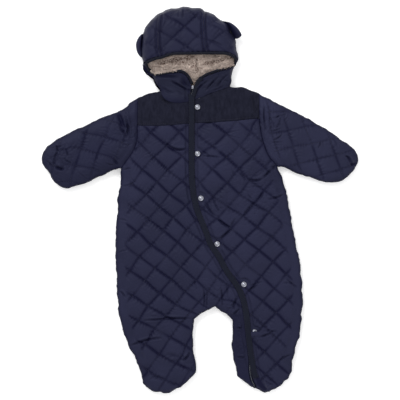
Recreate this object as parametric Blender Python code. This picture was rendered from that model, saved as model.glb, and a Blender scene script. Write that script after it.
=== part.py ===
"""Baby snowsuit, laid flat on its back.

Each piece that a maker would cut is its own closed solid: a padded wall over a
thin hollow.  Sizes in the tables are millimetres, and the meshes are in metres.

x runs to the wearer's left, y towards the hood and z up from the surface that
the suit lies on.  "right" and "left" are the wearer's.
"""
import math

import bmesh
import bpy
import numpy as np
from mathutils import Vector
from mathutils.geometry import delaunay_2d_cdt

for old in list(bpy.data.objects):
    bpy.data.objects.remove(old, do_unlink=True)

MM = 0.001
HALF_GAP = 0.16          # half of the clearance between two pieces at a seam
EDGE_STEP = 9.0          # spacing of the points along a cut edge

# --- heights -----------------------------------------------------------------
SEAM_Z = 11.0            # level of the side seam, where front and back meet
BODY_TOP = 24.0          # crest of the pads on body, sleeves and legs
HOOD_TOP = 40.0          # crest of the pads on the hood
HOOD_FULL_Y = 260.0      # the hood has its full height above this level
HOOD_LOW_Y = 188.0       # and the height of the body below this one
RIM = 1.2                # thickness of a wall at the side seam
FRONT_ROUND = 26.0       # width over which the front rounds down to its edge
BACK_ROUND = 12.0        # the same for the underside of the back
HOLLOW_ROUND = 20.0      # width over which the hollow opens between the walls
FRONT_INNER = 13.0       # inner face of the front wall
BACK_INNER = 9.5         # inner face of the back wall
HOOD_WALL = 10.5         # padded wall of hood and collar
PAD = 4.0                # height of a quilted pad over its stitch lines
PLAIN_DROP = 1.6         # a plain panel lies this much under the pads' crests
SOFT_EDGE = 12.0         # width over which quilting and folds fade in from the edge
SEAM_DIP = 2.5           # depth of the groove along a sewn seam
SEAM_DIP_WIDTH = 6.0

# --- outline: level, right edge, left edge --------------------------------------
HOOD_LEVELS = (
    (338.6, -69.0, 14.2),
    (326.7, -85.0, 34.4),
    (315.9, -93.8, 48.6),
    (305.1, -101.0, 54.9),
    (283.5, -104.6, 63.9),
    (261.9, -104.0, 68.5),
    (251.1, -103.8, 67.7),
    (240.3, -102.8, 62.0),
    (229.5, -90.0, 58.8),
    (218.7, -84.6, 57.2),
    (205.0, -75.0, 55.2),
)
HOOD_CREST = (-22.0, 348.0)
NECK_RIGHT = (-71.0, 196.4)
NECK_LEFT = (55.0, 202.9)

BODY_LEVELS = (
    (35.1, -143.4, 149.2),
    (13.5, -146.6, 156.0),
    (-51.3, -151.4, 167.5),
    (-84.0, -152.6, 174.0),
    (-116.1, -151.6, 180.8),
    (-180.9, -148.6, 185.1),
    (-214.0, -144.4, 182.6),
    (-245.7, -135.2, 179.1),
    (-267.3, -126.2, 172.3),
    (-288.9, -114.6, 166.7),
    (-310.5, -107.2, 164.6),
    (-332.1, -101.0, 147.8),
    (-342.9, -88.0, 129.2),
)
# inner edge of each leg: level, right leg, left leg
INNER_LEG_LEVELS = (
    (-203.2, 6.2, 44.0),
    (-211.6, -6.4, 51.8),
    (-215.0, -10.2, 58.6),
    (-224.0, -11.4, 59.6),
    (-235.0, -12.0, 58.5),
    (-256.0, -12.9, 57.2),
    (-289.0, -8.6, 60.3),
    (-309.0, -6.8, 66.2),
    (-321.0, -18.2, 70.3),
    (-332.0, -29.4, 86.9),
)
CROTCH = (27.0, -192.0)
TOE_RIGHT = (-66.0, -347.8)
TOE_INNER = (-46.5, -344.6)
TOE_LEFT = (117.0, -347.8)
ZIP_END = (100.0, -339.5)      # the zip comes out at the toe of the left foot

# sleeves: distance along the arm, width above its axis, width below it
SLEEVE_RIGHT = (
    (-9.5, 64.5, None),
    (-2.4, 59.4, None),
    (5.7, 56.6, None),
    (14.0, 56.6, None),
    (46.0, 56.3, None),
    (51.0, 56.0, 40.2),
    (83.0, 53.0, 41.6),
    (107.0, 51.2, 44.8),
    (130.0, 48.0, 44.2),
    (147.0, 43.9, 43.0),
    (158.0, 41.2, 37.8),
    (167.0, 35.1, 23.6),
    (170.6, 31.0, 9.2),
    (173.6, 26.0, None),
)
SLEEVE_RIGHT_TIP = (175.4, 13.5)
SLEEVE_RIGHT_START = (-113.0, 112.0)
SLEEVE_RIGHT_TURN = 200.0
SLEEVE_LEFT = (
    (0.0, 58.6, None),
    (24.0, 55.7, None),
    (66.0, 51.0, 47.8),
    (97.0, 46.0, 50.2),
    (115.0, 42.4, 48.2),
    (131.0, 38.7, 48.9),
    (147.0, 34.2, 47.3),
    (164.0, 29.3, 39.8),
    (175.0, 25.4, 31.8),
    (184.0, 16.3, 12.0),
)
SLEEVE_LEFT_TIP = (187.4, 4.4)
SLEEVE_LEFT_START = (106.0, 126.0)
SLEEVE_LEFT_TURN = -20.0

# --- seams, from their upper or inner end -------------------------------------------
SHOULDER_RIGHT = ((-71.0, 196.4), (-92.4, 191.6), (-111.5, 184.2))
SHOULDER_LEFT = ((55.0, 202.9), (67.0, 204.2), (80.0, 201.6), (105.8, 192.0))
ARMHOLE_RIGHT = ((-111.5, 184.2), (-112.0, 158.0), (-112.5, 134.0))
ARMPIT_RIGHT = ((-112.5, 134.0), (-113.5, 107.0), (-121.5, 86.0), (-142.4, 56.4))
ARMHOLE_LEFT = ((105.8, 192.0), (106.0, 168.0), (106.5, 147.0))
ARMPIT_LEFT = ((106.5, 147.0), (109.0, 125.0), (114.0, 104.0), (123.0, 80.0), (140.5, 60.0))
YOKE_RIGHT = ((-112.5, 134.0), (-89.0, 133.5), (-62.0, 134.0), (-17.3, 137.5))
YOKE_LEFT = ((-12.7, 138.0), (28.0, 140.0), (64.0, 142.5), (106.5, 147.0))
NECK_SEAM_RIGHT = ((-71.0, 196.4), (-67.0, 185.0), (-57.0, 177.0), (-39.0, 174.0), (-17.1, 177.0))
NECK_SEAM_LEFT = ((-12.5, 180.0), (4.0, 184.5), (16.0, 190.0), (31.0, 195.5), (45.0, 199.5), (55.0, 202.9))
BACK_NECK = ((-71.0, 196.4), (-40.0, 187.0), (-8.0, 184.0), (24.0, 188.0), (55.0, 202.9))
HOOD_SEAM_RIGHT = ((-71.0, 332.5), (-74.0, 312.0), (-75.0, 287.0), (-74.0, 269.0), (-71.0, 254.5))
HOOD_SEAM_LEFT = ((7.0, 340.0), (6.0, 316.0), (7.0, 294.0), (9.0, 276.0), (12.0, 263.0))
# the bound edge of the face opening, from the chin up its right side and round
FACE_EDGE = (
    (-14.5, 209.0),
    (-20.0, 221.0),
    (-30.0, 229.5),
    (-42.0, 231.0),
    (-64.0, 227.0),
    (-82.0, 226.0),
    (-90.0, 232.5),
    (-96.0, 244.5),
    (-81.0, 252.0),
    (-68.0, 255.0),
    (-50.0, 261.0),
    (-26.0, 262.0),
    (28.0, 262.5),
    (48.0, 261.5),
    (62.0, 255.0),
    (63.5, 247.0),
    (58.0, 240.0),
    (36.0, 233.5),
    (14.0, 226.0),
    (2.0, 219.0),
    (-7.5, 209.0),
)
FACE_RIGHT_CORNER = 7      # rows of FACE_EDGE at the opening's two corners
FACE_LEFT_CORNER = 15

# --- front opening: level, centre of the tape, centre of the zip --------------------
FRONT_OPENING = (
    (212.0, -12.0, -11.0),
    (193.5, -15.5, -14.5),
    (166.5, -14.9, -15.0),
    (53.1, -14.9, -15.0),
    (18.0, -12.6, -13.0),
    (2.7, -10.0, -11.0),
    (-18.9, -4.6, -5.6),
    (-54.9, 9.8, 9.0),
    (-80.0, 19.5, 18.5),
    (-100.0, 33.0, 32.0),
    (-126.9, 47.7, 46.5),
    (-162.9, 71.5, 69.5),
    (-198.9, 82.0, 81.0),
    (-252.9, 88.2, 87.0),
    (-284.0, 92.4, 89.6),
    (-306.0, 96.2, 89.6),
    (-322.0, 101.5, 92.6),
    (-344.0, 110.0, 102.0),
)
TAPE_WIDTH = 10.0
TAPE_THICK = 2.6
TAPE_TOP_Y = 190.0
TAPE_END_Y = -319.0
BED_MARGIN = 3.6          # the front is pressed flat this far beyond the tape
BED_RISE = 5.0            # and rises again over this width
ZIP_WIDTH = 4.2
ZIP_TOP_Y = 206.0
ZIP_SINK = 1.6            # the zip lies this much under the bed of the tape
ZIP_THIN = 0.8            # its least thickness

# --- press snaps: place on the flap ----------------------------------------------
SNAPS = ((-4.5, 166.8), (-4.3, 83.2), (1.7, 3.1), (31.0, -79.0), (78.8, -151.5), (98.0, -237.0))
SNAP_BED = 8.8            # the front is pressed flat within this radius

# --- quilting: two families of stitch lines on each region ------------------------
# x0: where the levels are read; level: of line 0; step: down to the next line;
# slope: of line 0, falling (first family) or rising (second) to the left side;
# turn: change of slope from each line to the next
QUILTS = {
    "front_right": ((-126.9, 116.1, 40.5, 0.92, -0.048), (-71.1, -9.0, 52.7, 1.06, 0.06)),
    "front_left": ((81.9, 88.2, 40.9, 0.81, 0.005), (108.9, 8.1, 47.9, 1.08, 0.0)),
    "sleeve_right": ((-197.1, 120.0, 32.0, 0.31, 0.0), (-207.0, 90.0, 95.0, 2.9, 0.0)),
    "sleeve_left": ((180.9, 96.0, 95.0, 2.85, 0.0), (180.9, 130.5, 33.5, 0.17, 0.06)),
    "hood": ((-27.9, 309.6, 34.2, 0.68, 0.0), (-27.9, 308.7, 38.0, 0.88, 0.0)),
}

# --- largest folds ------------------------------------------------------------------
FOLD_REACH = 1.6          # a trough ends at this many half widths from its middle
FOLD_END = 0.35           # share of its depth that it keeps at its ends
FOLD_SHOULDER = 1.5       # place of its shoulder points in half widths
# one end, other end, half width, depth
FOLDS = (
    (-147, 152, -145, 123, 5, 5.0),
    (-132, 150, -130, 112, 5, 5.0),
    (117, 174, 120, 123, 5, 4.0),
    (137, 62, 118, 42, 6, 5.0),
    (118, 42, 89, 38, 6, 4.0),
    (69, 50, 82, 33, 5, 3.0),
    (-102, -217, -14, -213, 6, 5.0),
    (-124, -264, -68, -248, 6, 4.0),
    (-33, -289, -17, -274, 5, 3.5),
    (5, -163, 4, -194, 4, 4.0),
    (15, -162, 15, -188, 4, 4.0),
    (37, -164, 35, -194, 4, 4.0),
    (67, -172, 72, -193, 5, 4.0),
    (98, -247, 140, -249, 6, 4.0),
    (104, -303, 107, -321, 5, 4.0),
    (107, -321, 121, -340, 6, 5.0),
    (-263, 82, -257, 60, 5, 4.0),
    (276, 74, 272, 58, 5, 3.5),
    (-48, 213, -20, 194, 5, 3.5),
    (14, 202, 35, 222, 5, 3.0),
    (-5, 250, -5, 224, 6, 3.0),
)


# --- plan curves ------------------------------------------------------------------
def smooth_path(points, step=EDGE_STEP):
    """Catmull-Rom curve through the points, cut into equal steps."""
    knots = np.array(points, dtype=float)
    first = 2 * knots[0] - knots[1]
    last = 2 * knots[-1] - knots[-2]
    knots = np.vstack([first, knots, last])
    t = np.linspace(0.0, 1.0, 16, endpoint=False)[:, None]
    runs = []
    for a, b, c, d in zip(knots, knots[1:], knots[2:], knots[3:]):
        runs.append(0.5 * (2 * b + (c - a) * t + (2 * a - 5 * b + 4 * c - d) * t ** 2
                           + (3 * b - a - 3 * c + d) * t ** 3))
    dense = np.vstack(runs + [knots[-2:-1]])
    lengths = np.hypot(*np.diff(dense, axis=0).T)
    along = np.concatenate([[0.0], np.cumsum(lengths)])
    count = max(2, int(round(along[-1] / step)) + 1)
    stops = np.linspace(0.0, along[-1], count)
    return np.column_stack([np.interp(stops, along, dense[:, 0]), np.interp(stops, along, dense[:, 1])])


def join(*curves):
    """One run of points from several, leaving out a point that repeats the last."""
    run = [np.asarray(curves[0], dtype=float)]
    for curve in curves[1:]:
        curve = np.asarray(curve, dtype=float)
        if np.hypot(*(curve[0] - run[-1][-1])) < 1.0:
            curve = curve[1:]
        run.append(curve)
    return np.vstack(run)


def at_angle(start, turn, along, across):
    """The plan point that lies along and across an axis turned from x."""
    c, s = math.cos(math.radians(turn)), math.sin(math.radians(turn))
    return (start[0] + along * c - across * s, start[1] + along * s + across * c)


def sleeve_edge(rows, tip, start, turn, side):
    """Sleeve outline from the shoulder over the tip to the armpit; side -1 or 1
    is the side of the axis on which the upper edge lies."""
    upper = [at_angle(start, turn, along, side * above) for along, above, below in rows]
    lower = [at_angle(start, turn, along, -side * below) for along, above, below in rows if below]
    return upper + [at_angle(start, turn, tip[0], side * tip[1])] + lower[::-1]


def opening_x(column, level):
    """x of the tape (column 1) or the zip (column 2) at a level, and its slope."""
    curve = smooth_path([(row[column], row[0]) for row in FRONT_OPENING[::-1]], 3.0)
    reach = 4.0
    x, ahead, behind = [np.interp(level + step, curve[:, 1], curve[:, 0]) for step in (0.0, reach, -reach)]
    return x, (ahead - behind) / (2 * reach)


def levels_down(top, bottom):
    """Levels about one step apart, from the top down."""
    return np.linspace(top, bottom, max(2, int((top - bottom) / EDGE_STEP) + 1))


def opening_edge(column, side, half_width, top, bottom):
    """An edge of tape or zip, side -1 right or 1 left, from the top level down."""
    levels = levels_down(top, bottom)
    x, slope = opening_x(column, levels)
    return np.column_stack([x + side * half_width * np.sqrt(1 + slope ** 2), levels])


def outline_edges():
    """The stretches of the suit's outline, anticlockwise from the left of the neck."""
    hood = [NECK_LEFT] + [(left, y) for y, right, left in HOOD_LEVELS[::-1]] + [HOOD_CREST]
    hood += [(right, y) for y, right, left in HOOD_LEVELS] + [NECK_RIGHT]
    sleeve_right = sleeve_edge(SLEEVE_RIGHT, SLEEVE_RIGHT_TIP, SLEEVE_RIGHT_START, SLEEVE_RIGHT_TURN, -1)
    sleeve_left = sleeve_edge(SLEEVE_LEFT, SLEEVE_LEFT_TIP, SLEEVE_LEFT_START, SLEEVE_LEFT_TURN, 1)
    side_right = [ARMPIT_RIGHT[-1]] + [(right, y) for y, right, left in BODY_LEVELS] + [TOE_RIGHT]
    side_left = [TOE_LEFT] + [(left, y) for y, right, left in BODY_LEVELS[::-1]] + [ARMPIT_LEFT[-1]]
    inner_right = [TOE_RIGHT, TOE_INNER] + [(right, y) for y, right, left in INNER_LEG_LEVELS[::-1]] + [CROTCH]
    inner_left = [CROTCH] + [(left, y) for y, right, left in INNER_LEG_LEVELS] + [ZIP_END]
    return {
        "hood": smooth_path(hood),
        "shoulder_right": smooth_path(SHOULDER_RIGHT),
        "sleeve_right": smooth_path([SHOULDER_RIGHT[-1]] + sleeve_right + [ARMPIT_RIGHT[-1]]),
        "side_right": smooth_path(side_right),
        "inner_right": smooth_path(inner_right),
        "inner_left": smooth_path(inner_left),
        "toe_left": smooth_path([ZIP_END, TOE_LEFT]),
        "side_left": smooth_path(side_left),
        "sleeve_left": smooth_path([ARMPIT_LEFT[-1]] + sleeve_left[::-1] + [SHOULDER_LEFT[-1]]),
        "shoulder_left": smooth_path(SHOULDER_LEFT[::-1]),
    }


EDGE = outline_edges()
OUTLINE = join(*EDGE.values())[:-1]


# --- distances and insides ------------------------------------------------------------
def distance(points, line, closed=True):
    """Distance from each point to the nearest place on a line of points."""
    a = line
    b = np.roll(line, -1, axis=0)
    if not closed:
        a, b = line[:-1], line[1:]
    run = b - a
    length2 = np.maximum((run ** 2).sum(axis=1), 1e-9)
    reach = points[:, None, :] - a[None, :, :]
    t = np.clip((reach * run).sum(axis=2) / length2, 0.0, 1.0)
    gap = reach - t[:, :, None] * run
    return np.sqrt((gap ** 2).sum(axis=2)).min(axis=1)


def inside(points, loop):
    """True for the points within a closed loop, by counting crossings."""
    x, y = points[:, 0][:, None], points[:, 1][:, None]
    x1, y1 = loop[:, 0], loop[:, 1]
    x2, y2 = np.roll(x1, -1), np.roll(y1, -1)
    rise = np.where(np.abs(y2 - y1) < 1e-12, 1e-12, y2 - y1)
    crosses = ((y1 > y) != (y2 > y)) & (x < (x2 - x1) * (y - y1) / rise + x1)
    return crosses.sum(axis=1) % 2 == 1


def inward(loop):
    """Unit normals into an anticlockwise loop."""
    run = np.roll(loop, -1, axis=0) - np.roll(loop, 1, axis=0)
    normal = np.column_stack([-run[:, 1], run[:, 0]])
    return normal / np.maximum(np.hypot(*normal.T), 1e-9)[:, None]


def smoothstep(t):
    t = np.clip(t, 0.0, 1.0)
    return t * t * (3 - 2 * t)


# --- heights ------------------------------------------------------------------------
def edge_distance(points):
    """How far inside the suit's outline each point lies, 0 on it or outside."""
    return np.where(inside(points, OUTLINE), distance(points, OUTLINE), 0.0)


def round_over(depth, width):
    """Quarter ellipse from 0 at the edge to 1 at the given width."""
    t = np.clip(depth / width, 0.0, 1.0)
    return np.sqrt(1.0 - (1.0 - t) ** 2)


def crest(points):
    """Height of the pads' crests, which rises from the body to the hood."""
    rise = smoothstep((points[:, 1] - HOOD_LOW_Y) / (HOOD_FULL_Y - HOOD_LOW_Y))
    return BODY_TOP + (HOOD_TOP - BODY_TOP) * rise


def plain_top(points):
    """Outer face of the front without its quilting and folds."""
    base = SEAM_Z + HALF_GAP + RIM
    return base + (crest(points) - base) * round_over(edge_distance(points), FRONT_ROUND)


def front_inner(points):
    """Inner face of the front, nearly flat over the thin hollow."""
    base = SEAM_Z + HALF_GAP
    return base + (FRONT_INNER - base) * smoothstep(edge_distance(points) / HOLLOW_ROUND)


def hood_inner(points):
    """Inner face of hood and collar, a wall's thickness under the outer face."""
    base = SEAM_Z + HALF_GAP
    level = crest(points) - HOOD_WALL
    return base + (level - base) * round_over(edge_distance(points), FRONT_ROUND + 4.0)


def back_inner(points):
    """Inner face of the back."""
    base = SEAM_Z - HALF_GAP
    return base + (BACK_INNER - base) * smoothstep(edge_distance(points) / HOLLOW_ROUND)


def underside(points):
    """Outer face of the back: flat on the surface, rounding up to the side seam."""
    base = SEAM_Z - HALF_GAP - RIM
    return base * (1.0 - round_over(edge_distance(points), BACK_ROUND))


def line_number(points, family, falls):
    """Where each point lies in a family of stitch lines: whole numbers are lines."""
    x0, level, step, slope, turn = family
    across = points[:, 0] - x0
    if falls:
        return (level - points[:, 1] - slope * across) / (step + turn * across)
    return (level - points[:, 1] + slope * across) / (step - turn * across)


def quilt_relief(points, region):
    """0 on the stitch lines, rising steeply to a rounded pad between them."""
    falling, rising = QUILTS[region]
    a = np.abs(np.sin(np.pi * line_number(points, falling, True)))
    b = np.abs(np.sin(np.pi * line_number(points, rising, False)))
    return (a * b) ** 0.55


def fold_depth(points):
    """Depth of the folds: each a trough with soft sides that fades at its ends."""
    total = np.zeros(len(points))
    for x1, y1, x2, y2, half_width, depth in FOLDS:
        start, end = np.array([x1, y1], dtype=float), np.array([x2, y2], dtype=float)
        run = end - start
        t = np.clip(((points - start) @ run) / (run @ run), 0.0, 1.0)
        off = np.hypot(*(points - start - t[:, None] * run).T)
        trough = (1.0 - np.clip(off / (FOLD_REACH * half_width), 0.0, 1.0) ** 2) ** 2
        along = FOLD_END + (1.0 - FOLD_END) * np.sin(np.pi * t)
        total = np.maximum(total, depth * trough * along)
    return total


def outer_top(region, seams):
    """The outer face of one front piece: rounded, quilted, folded and sewn down."""
    tape_line = opening_edge(1, 0, 0.0, TAPE_TOP_Y + 5.0, TAPE_END_Y - 5.0)

    def height(points):
        depth = edge_distance(points)
        soft = smoothstep(depth / SOFT_EDGE)
        top = plain_top(points)
        if region in QUILTS:
            top = top - PAD * soft * (1.0 - quilt_relief(points, region))
        else:
            top = top - PLAIN_DROP * soft
        for seam in seams:
            near = distance(points, seam, closed=False)
            top = top - SEAM_DIP * soft * smoothstep(1.0 - near / SEAM_DIP_WIDTH)
        top = top - fold_depth(points) * soft
        bed = plain_top(points) - PAD
        near = distance(points, tape_line, closed=False)
        flat = smoothstep((near - 0.5 * TAPE_WIDTH - BED_MARGIN) / BED_RISE)
        top = bed + (top - bed) * flat
        for x, y in SNAPS:
            near = np.hypot(points[:, 0] - x, points[:, 1] - y)
            flat = smoothstep((near - SNAP_BED) / BED_RISE)
            level = plain_top(np.array([[x, y]]))[0] - PAD
            top = level + (top - level) * flat
        return np.maximum(top, SEAM_Z + HALF_GAP + RIM)
    return height


# --- points in a piece ------------------------------------------------------------------
SPACING = 4.5             # least distance between two points of a face
RING_ROOM = 0.85          # a ring point keeps this share of its distance to the loop
QUARTER = 0.25            # quilting points lie at quarters of the way between lines


def spread(kept, extra, spacing):
    """Adds the extra points that lie at least the spacing from all points so far."""
    for point in extra:
        if np.hypot(*(kept - point).T).min() >= spacing:
            kept = np.vstack([kept, point])
    return kept


def ring_points(loop, steps):
    """Points at the given distances inside a loop, where there is room for them."""
    normal = inward(loop)
    rings = np.vstack([loop + normal * step for step in steps])
    wanted = np.repeat(steps, len(loop))
    room = distance(rings, loop) >= RING_ROOM * wanted
    return rings[room & inside(rings, loop)]


def stitch_points(loop, region):
    """Crossings, line middles, pad centres and quarter points of the quilting."""
    falling, rising = QUILTS[region]
    low, high = loop.min(axis=0), loop.max(axis=0)
    corners = np.array([low, high, (low[0], high[1]), (high[0], low[1])])
    spans = []
    for family, falls in ((falling, True), (rising, False)):
        number = line_number(corners, family, falls)
        spans.append((math.floor(number.min()) - 1, math.ceil(number.max()) + 1))
    a, b = np.meshgrid(np.arange(spans[0][0], spans[0][1], QUARTER),
                       np.arange(spans[1][0], spans[1][1], QUARTER))
    a, b = a.ravel(), b.ravel()
    even = np.round((a + b) / QUARTER).astype(int) % 2 == 0
    a, b = a[even], b[even]
    on_line = (np.abs(a - np.round(a)) < 0.01) | (np.abs(b - np.round(b)) < 0.01)
    ax0, ay0, a_step, a_slope, a_turn = falling
    bx0, by0, b_step, b_slope, b_turn = rising
    fall = a_slope + a_turn * a
    climb = b_slope + b_turn * b
    x = (ay0 - a_step * a + fall * ax0 - by0 + b_step * b + climb * bx0) / (fall + climb)
    y = ay0 - a_step * a - fall * (x - ax0)
    points = np.column_stack([x, y])
    order = np.argsort(~on_line, kind="stable")
    points = points[order]
    keep = (points > low).all(axis=1) & (points < high).all(axis=1)
    points = points[keep]
    return points[inside(points, loop)]


def fold_points():
    """Three rows of points along each fold: its bed and both shoulders."""
    rows = []
    for x1, y1, x2, y2, half_width, depth in FOLDS:
        start, end = np.array([x1, y1], dtype=float), np.array([x2, y2], dtype=float)
        length = np.hypot(*(end - start))
        side = np.array([-(end - start)[1], (end - start)[0]]) / length
        count = max(3, int(length / EDGE_STEP) + 1)
        run = start + np.linspace(0.0, 1.0, count)[:, None] * (end - start)
        shoulder = side * half_width * FOLD_SHOULDER
        rows += [run, run + shoulder, run - shoulder]
    return np.vstack(rows)


def bed_points():
    """Points under the tape's edges and round each snap, so that they sit flat."""
    rows = []
    for side in (-1, 1):
        for extra in (BED_MARGIN, BED_MARGIN + BED_RISE):
            rows.append(opening_edge(1, side, 0.5 * TAPE_WIDTH + extra, TAPE_TOP_Y + 8.0, TAPE_END_Y - 8.0))
    turn = np.linspace(0.0, 2 * math.pi, 8, endpoint=False)
    for x, y in SNAPS:
        for radius in (SNAP_BED, SNAP_BED + BED_RISE, 0.0):
            rows.append(np.column_stack([x + radius * np.cos(turn), y + radius * np.sin(turn)]))
    return np.vstack(rows)


def grid_points(loop, step):
    low, high = loop.min(axis=0), loop.max(axis=0)
    x, y = np.meshgrid(np.arange(low[0], high[0], step), np.arange(low[1], high[1], step))
    points = np.column_stack([x.ravel(), y.ravel()])
    return points[inside(points, loop)]


def fill(loop, groups):
    """Loop points first, then each group's points that have room."""
    kept = loop
    for group in groups:
        if len(group) == 0:
            continue
        room = inside(group, loop) & (distance(group, loop) > 0.5 * SPACING)
        kept = spread(kept, group[room], SPACING)
    return kept


# --- solids ----------------------------------------------------------------------------------
def stitch_links(points, rim_count, region):
    """Pairs of neighbouring points on one stitch line, to be kept as edges."""
    falling, rising = QUILTS[region]
    a = line_number(points, falling, True)
    b = line_number(points, rising, False)
    links = []
    for line, place in ((a, b), (b, a)):
        on_line = np.abs(line - np.round(line)) < 0.02
        on_line[:rim_count] = False
        for number in np.unique(np.round(line[on_line])):
            members = np.flatnonzero(on_line & (np.round(line) == number))
            members = members[np.argsort(place[members])]
            steps = np.diff(place[members])
            links += [(int(i), int(j)) for i, j, step in zip(members, members[1:], steps) if step < 0.55]
    return links


def triangulate(points, rim_count, region=None):
    """Triangles over the points within the rim, as rows of point numbers."""
    coords = [Vector((float(x), float(y))) for x, y in points]
    links = [(i, (i + 1) % rim_count) for i in range(rim_count)]
    if region in QUILTS:
        links += stitch_links(points, rim_count, region)
    verts, _, faces, origin, _, _ = delaunay_2d_cdt(coords, links, [], 1, 1e-4)
    if len(verts) != len(points):
        raise ValueError("a rim crosses itself or two points meet")
    number = [rows[0] for rows in origin]
    return [tuple(number[v] for v in face) for face in faces]


def add_object(name, verts, faces, skin):
    """A solid from points in millimetres."""
    mesh = bpy.data.meshes.new(name)
    mesh.from_pydata([tuple(v) for v in np.asarray(verts) * MM], [], faces)
    mesh.materials.append(skin)
    made = bpy.data.objects.new(name, mesh)
    bpy.context.scene.collection.objects.link(made)
    return made


def wall(name, loop, top, bottom, top_groups, bottom_groups, skin, region=None):
    """A closed wall over a plan outline: an upper face, a lower face and a rim."""
    loop = loop + inward(loop) * HALF_GAP
    upper = fill(loop, top_groups)
    lower = fill(loop, bottom_groups)
    rim = len(loop)
    upper_faces = triangulate(upper, rim, region)
    lower_faces = triangulate(lower, rim)
    verts = np.vstack([np.column_stack([upper, top(upper)]), np.column_stack([lower, bottom(lower)])])
    count = len(upper)
    faces = list(upper_faces)
    faces += [tuple(count + v for v in face[::-1]) for face in lower_faces]
    for i in range(rim):
        j = (i + 1) % rim
        faces.append((count + i, count + j, j))
        faces.append((count + i, j, i))
    return add_object(name, verts, faces, skin)


def material(name, colour, roughness, metallic=0.0):
    made = bpy.data.materials.new(name)
    made.use_nodes = True
    shader = made.node_tree.nodes["Principled BSDF"]
    shader.inputs["Base Color"].default_value = (*colour, 1.0)
    shader.inputs["Roughness"].default_value = roughness
    shader.inputs["Metallic"].default_value = metallic
    return made


SHELL = material("navy_shell", (0.021, 0.025, 0.052), 0.55)
PLAIN = material("matte_yoke", (0.013, 0.014, 0.024), 0.8)
TAPE = material("placket_tape", (0.014, 0.017, 0.03), 0.75)
SHERPA = material("sherpa", (0.27, 0.21, 0.18), 0.95)
METAL = material("snap_metal", (0.45, 0.45, 0.5), 0.3, 1.0)
ZIP = material("zip", (0.25, 0.26, 0.3), 0.4, 0.6)

# distances of the rows of points inside the edge of a front and of a plain face
FRONT_RINGS = (3.0, 9.0, 17.0)
BACK_RINGS = (2.5, BACK_ROUND)
HOOD_RINGS = (2.0, 5.0, 10.0, 20.0)
PLAIN_GRID = 50.0         # spacing of the few points inside a plain face
PANEL_GRID = 16.0         # and inside the outer face of a plain panel
SHOULDER_EDGES = {"right": smooth_path(ARMHOLE_RIGHT), "left": smooth_path(ARMHOLE_LEFT)}
ARMPIT_EDGES = {"right": smooth_path(ARMPIT_RIGHT), "left": smooth_path(ARMPIT_LEFT)}
SEAM_CURVES = {
    "armhole_right": join(SHOULDER_EDGES["right"], ARMPIT_EDGES["right"]),
    "armhole_left": join(SHOULDER_EDGES["left"], ARMPIT_EDGES["left"]),
    "yoke_right": smooth_path(YOKE_RIGHT),
    "yoke_left": smooth_path(YOKE_LEFT),
    "neck_right": smooth_path(NECK_SEAM_RIGHT),
    "neck_left": smooth_path(NECK_SEAM_LEFT),
    "hood_right": smooth_path(HOOD_SEAM_RIGHT),
    "hood_left": smooth_path(HOOD_SEAM_LEFT),
}
FOLD_POINTS = fold_points()
BED_POINTS = bed_points()
ZIP_HALF = 0.5 * ZIP_WIDTH + 2 * HALF_GAP


def front_wall(name, loop, region, seams, skin, inner=front_inner, inner_rings=(HOLLOW_ROUND,)):
    """A front panel: quilted and folded outside, plain inside."""
    curves = [SEAM_CURVES[seam] for seam in seams]
    groups = [BED_POINTS, FOLD_POINTS, ring_points(loop, FRONT_RINGS)]
    if region in QUILTS:
        groups.append(stitch_points(loop, region))
    else:
        groups.append(grid_points(loop, PANEL_GRID))
    plain = [ring_points(loop, inner_rings), grid_points(loop, PLAIN_GRID)]
    return wall(name, loop, outer_top(region, curves), inner, groups, plain, skin, region)


def zip_side(side, top, bottom):
    """The edge of a front along the zip."""
    return opening_edge(2, side, ZIP_HALF, top, bottom)


def plain_wall(name, loop):
    """A back panel: flat where it rests, rounding up to the seam, plain inside."""
    under = [ring_points(loop, BACK_RINGS), grid_points(loop, PLAIN_GRID)]
    inner = [ring_points(loop, (HOLLOW_ROUND,)), grid_points(loop, PLAIN_GRID)]
    return wall(name, loop, back_inner, underside, inner, under, SHELL)


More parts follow.
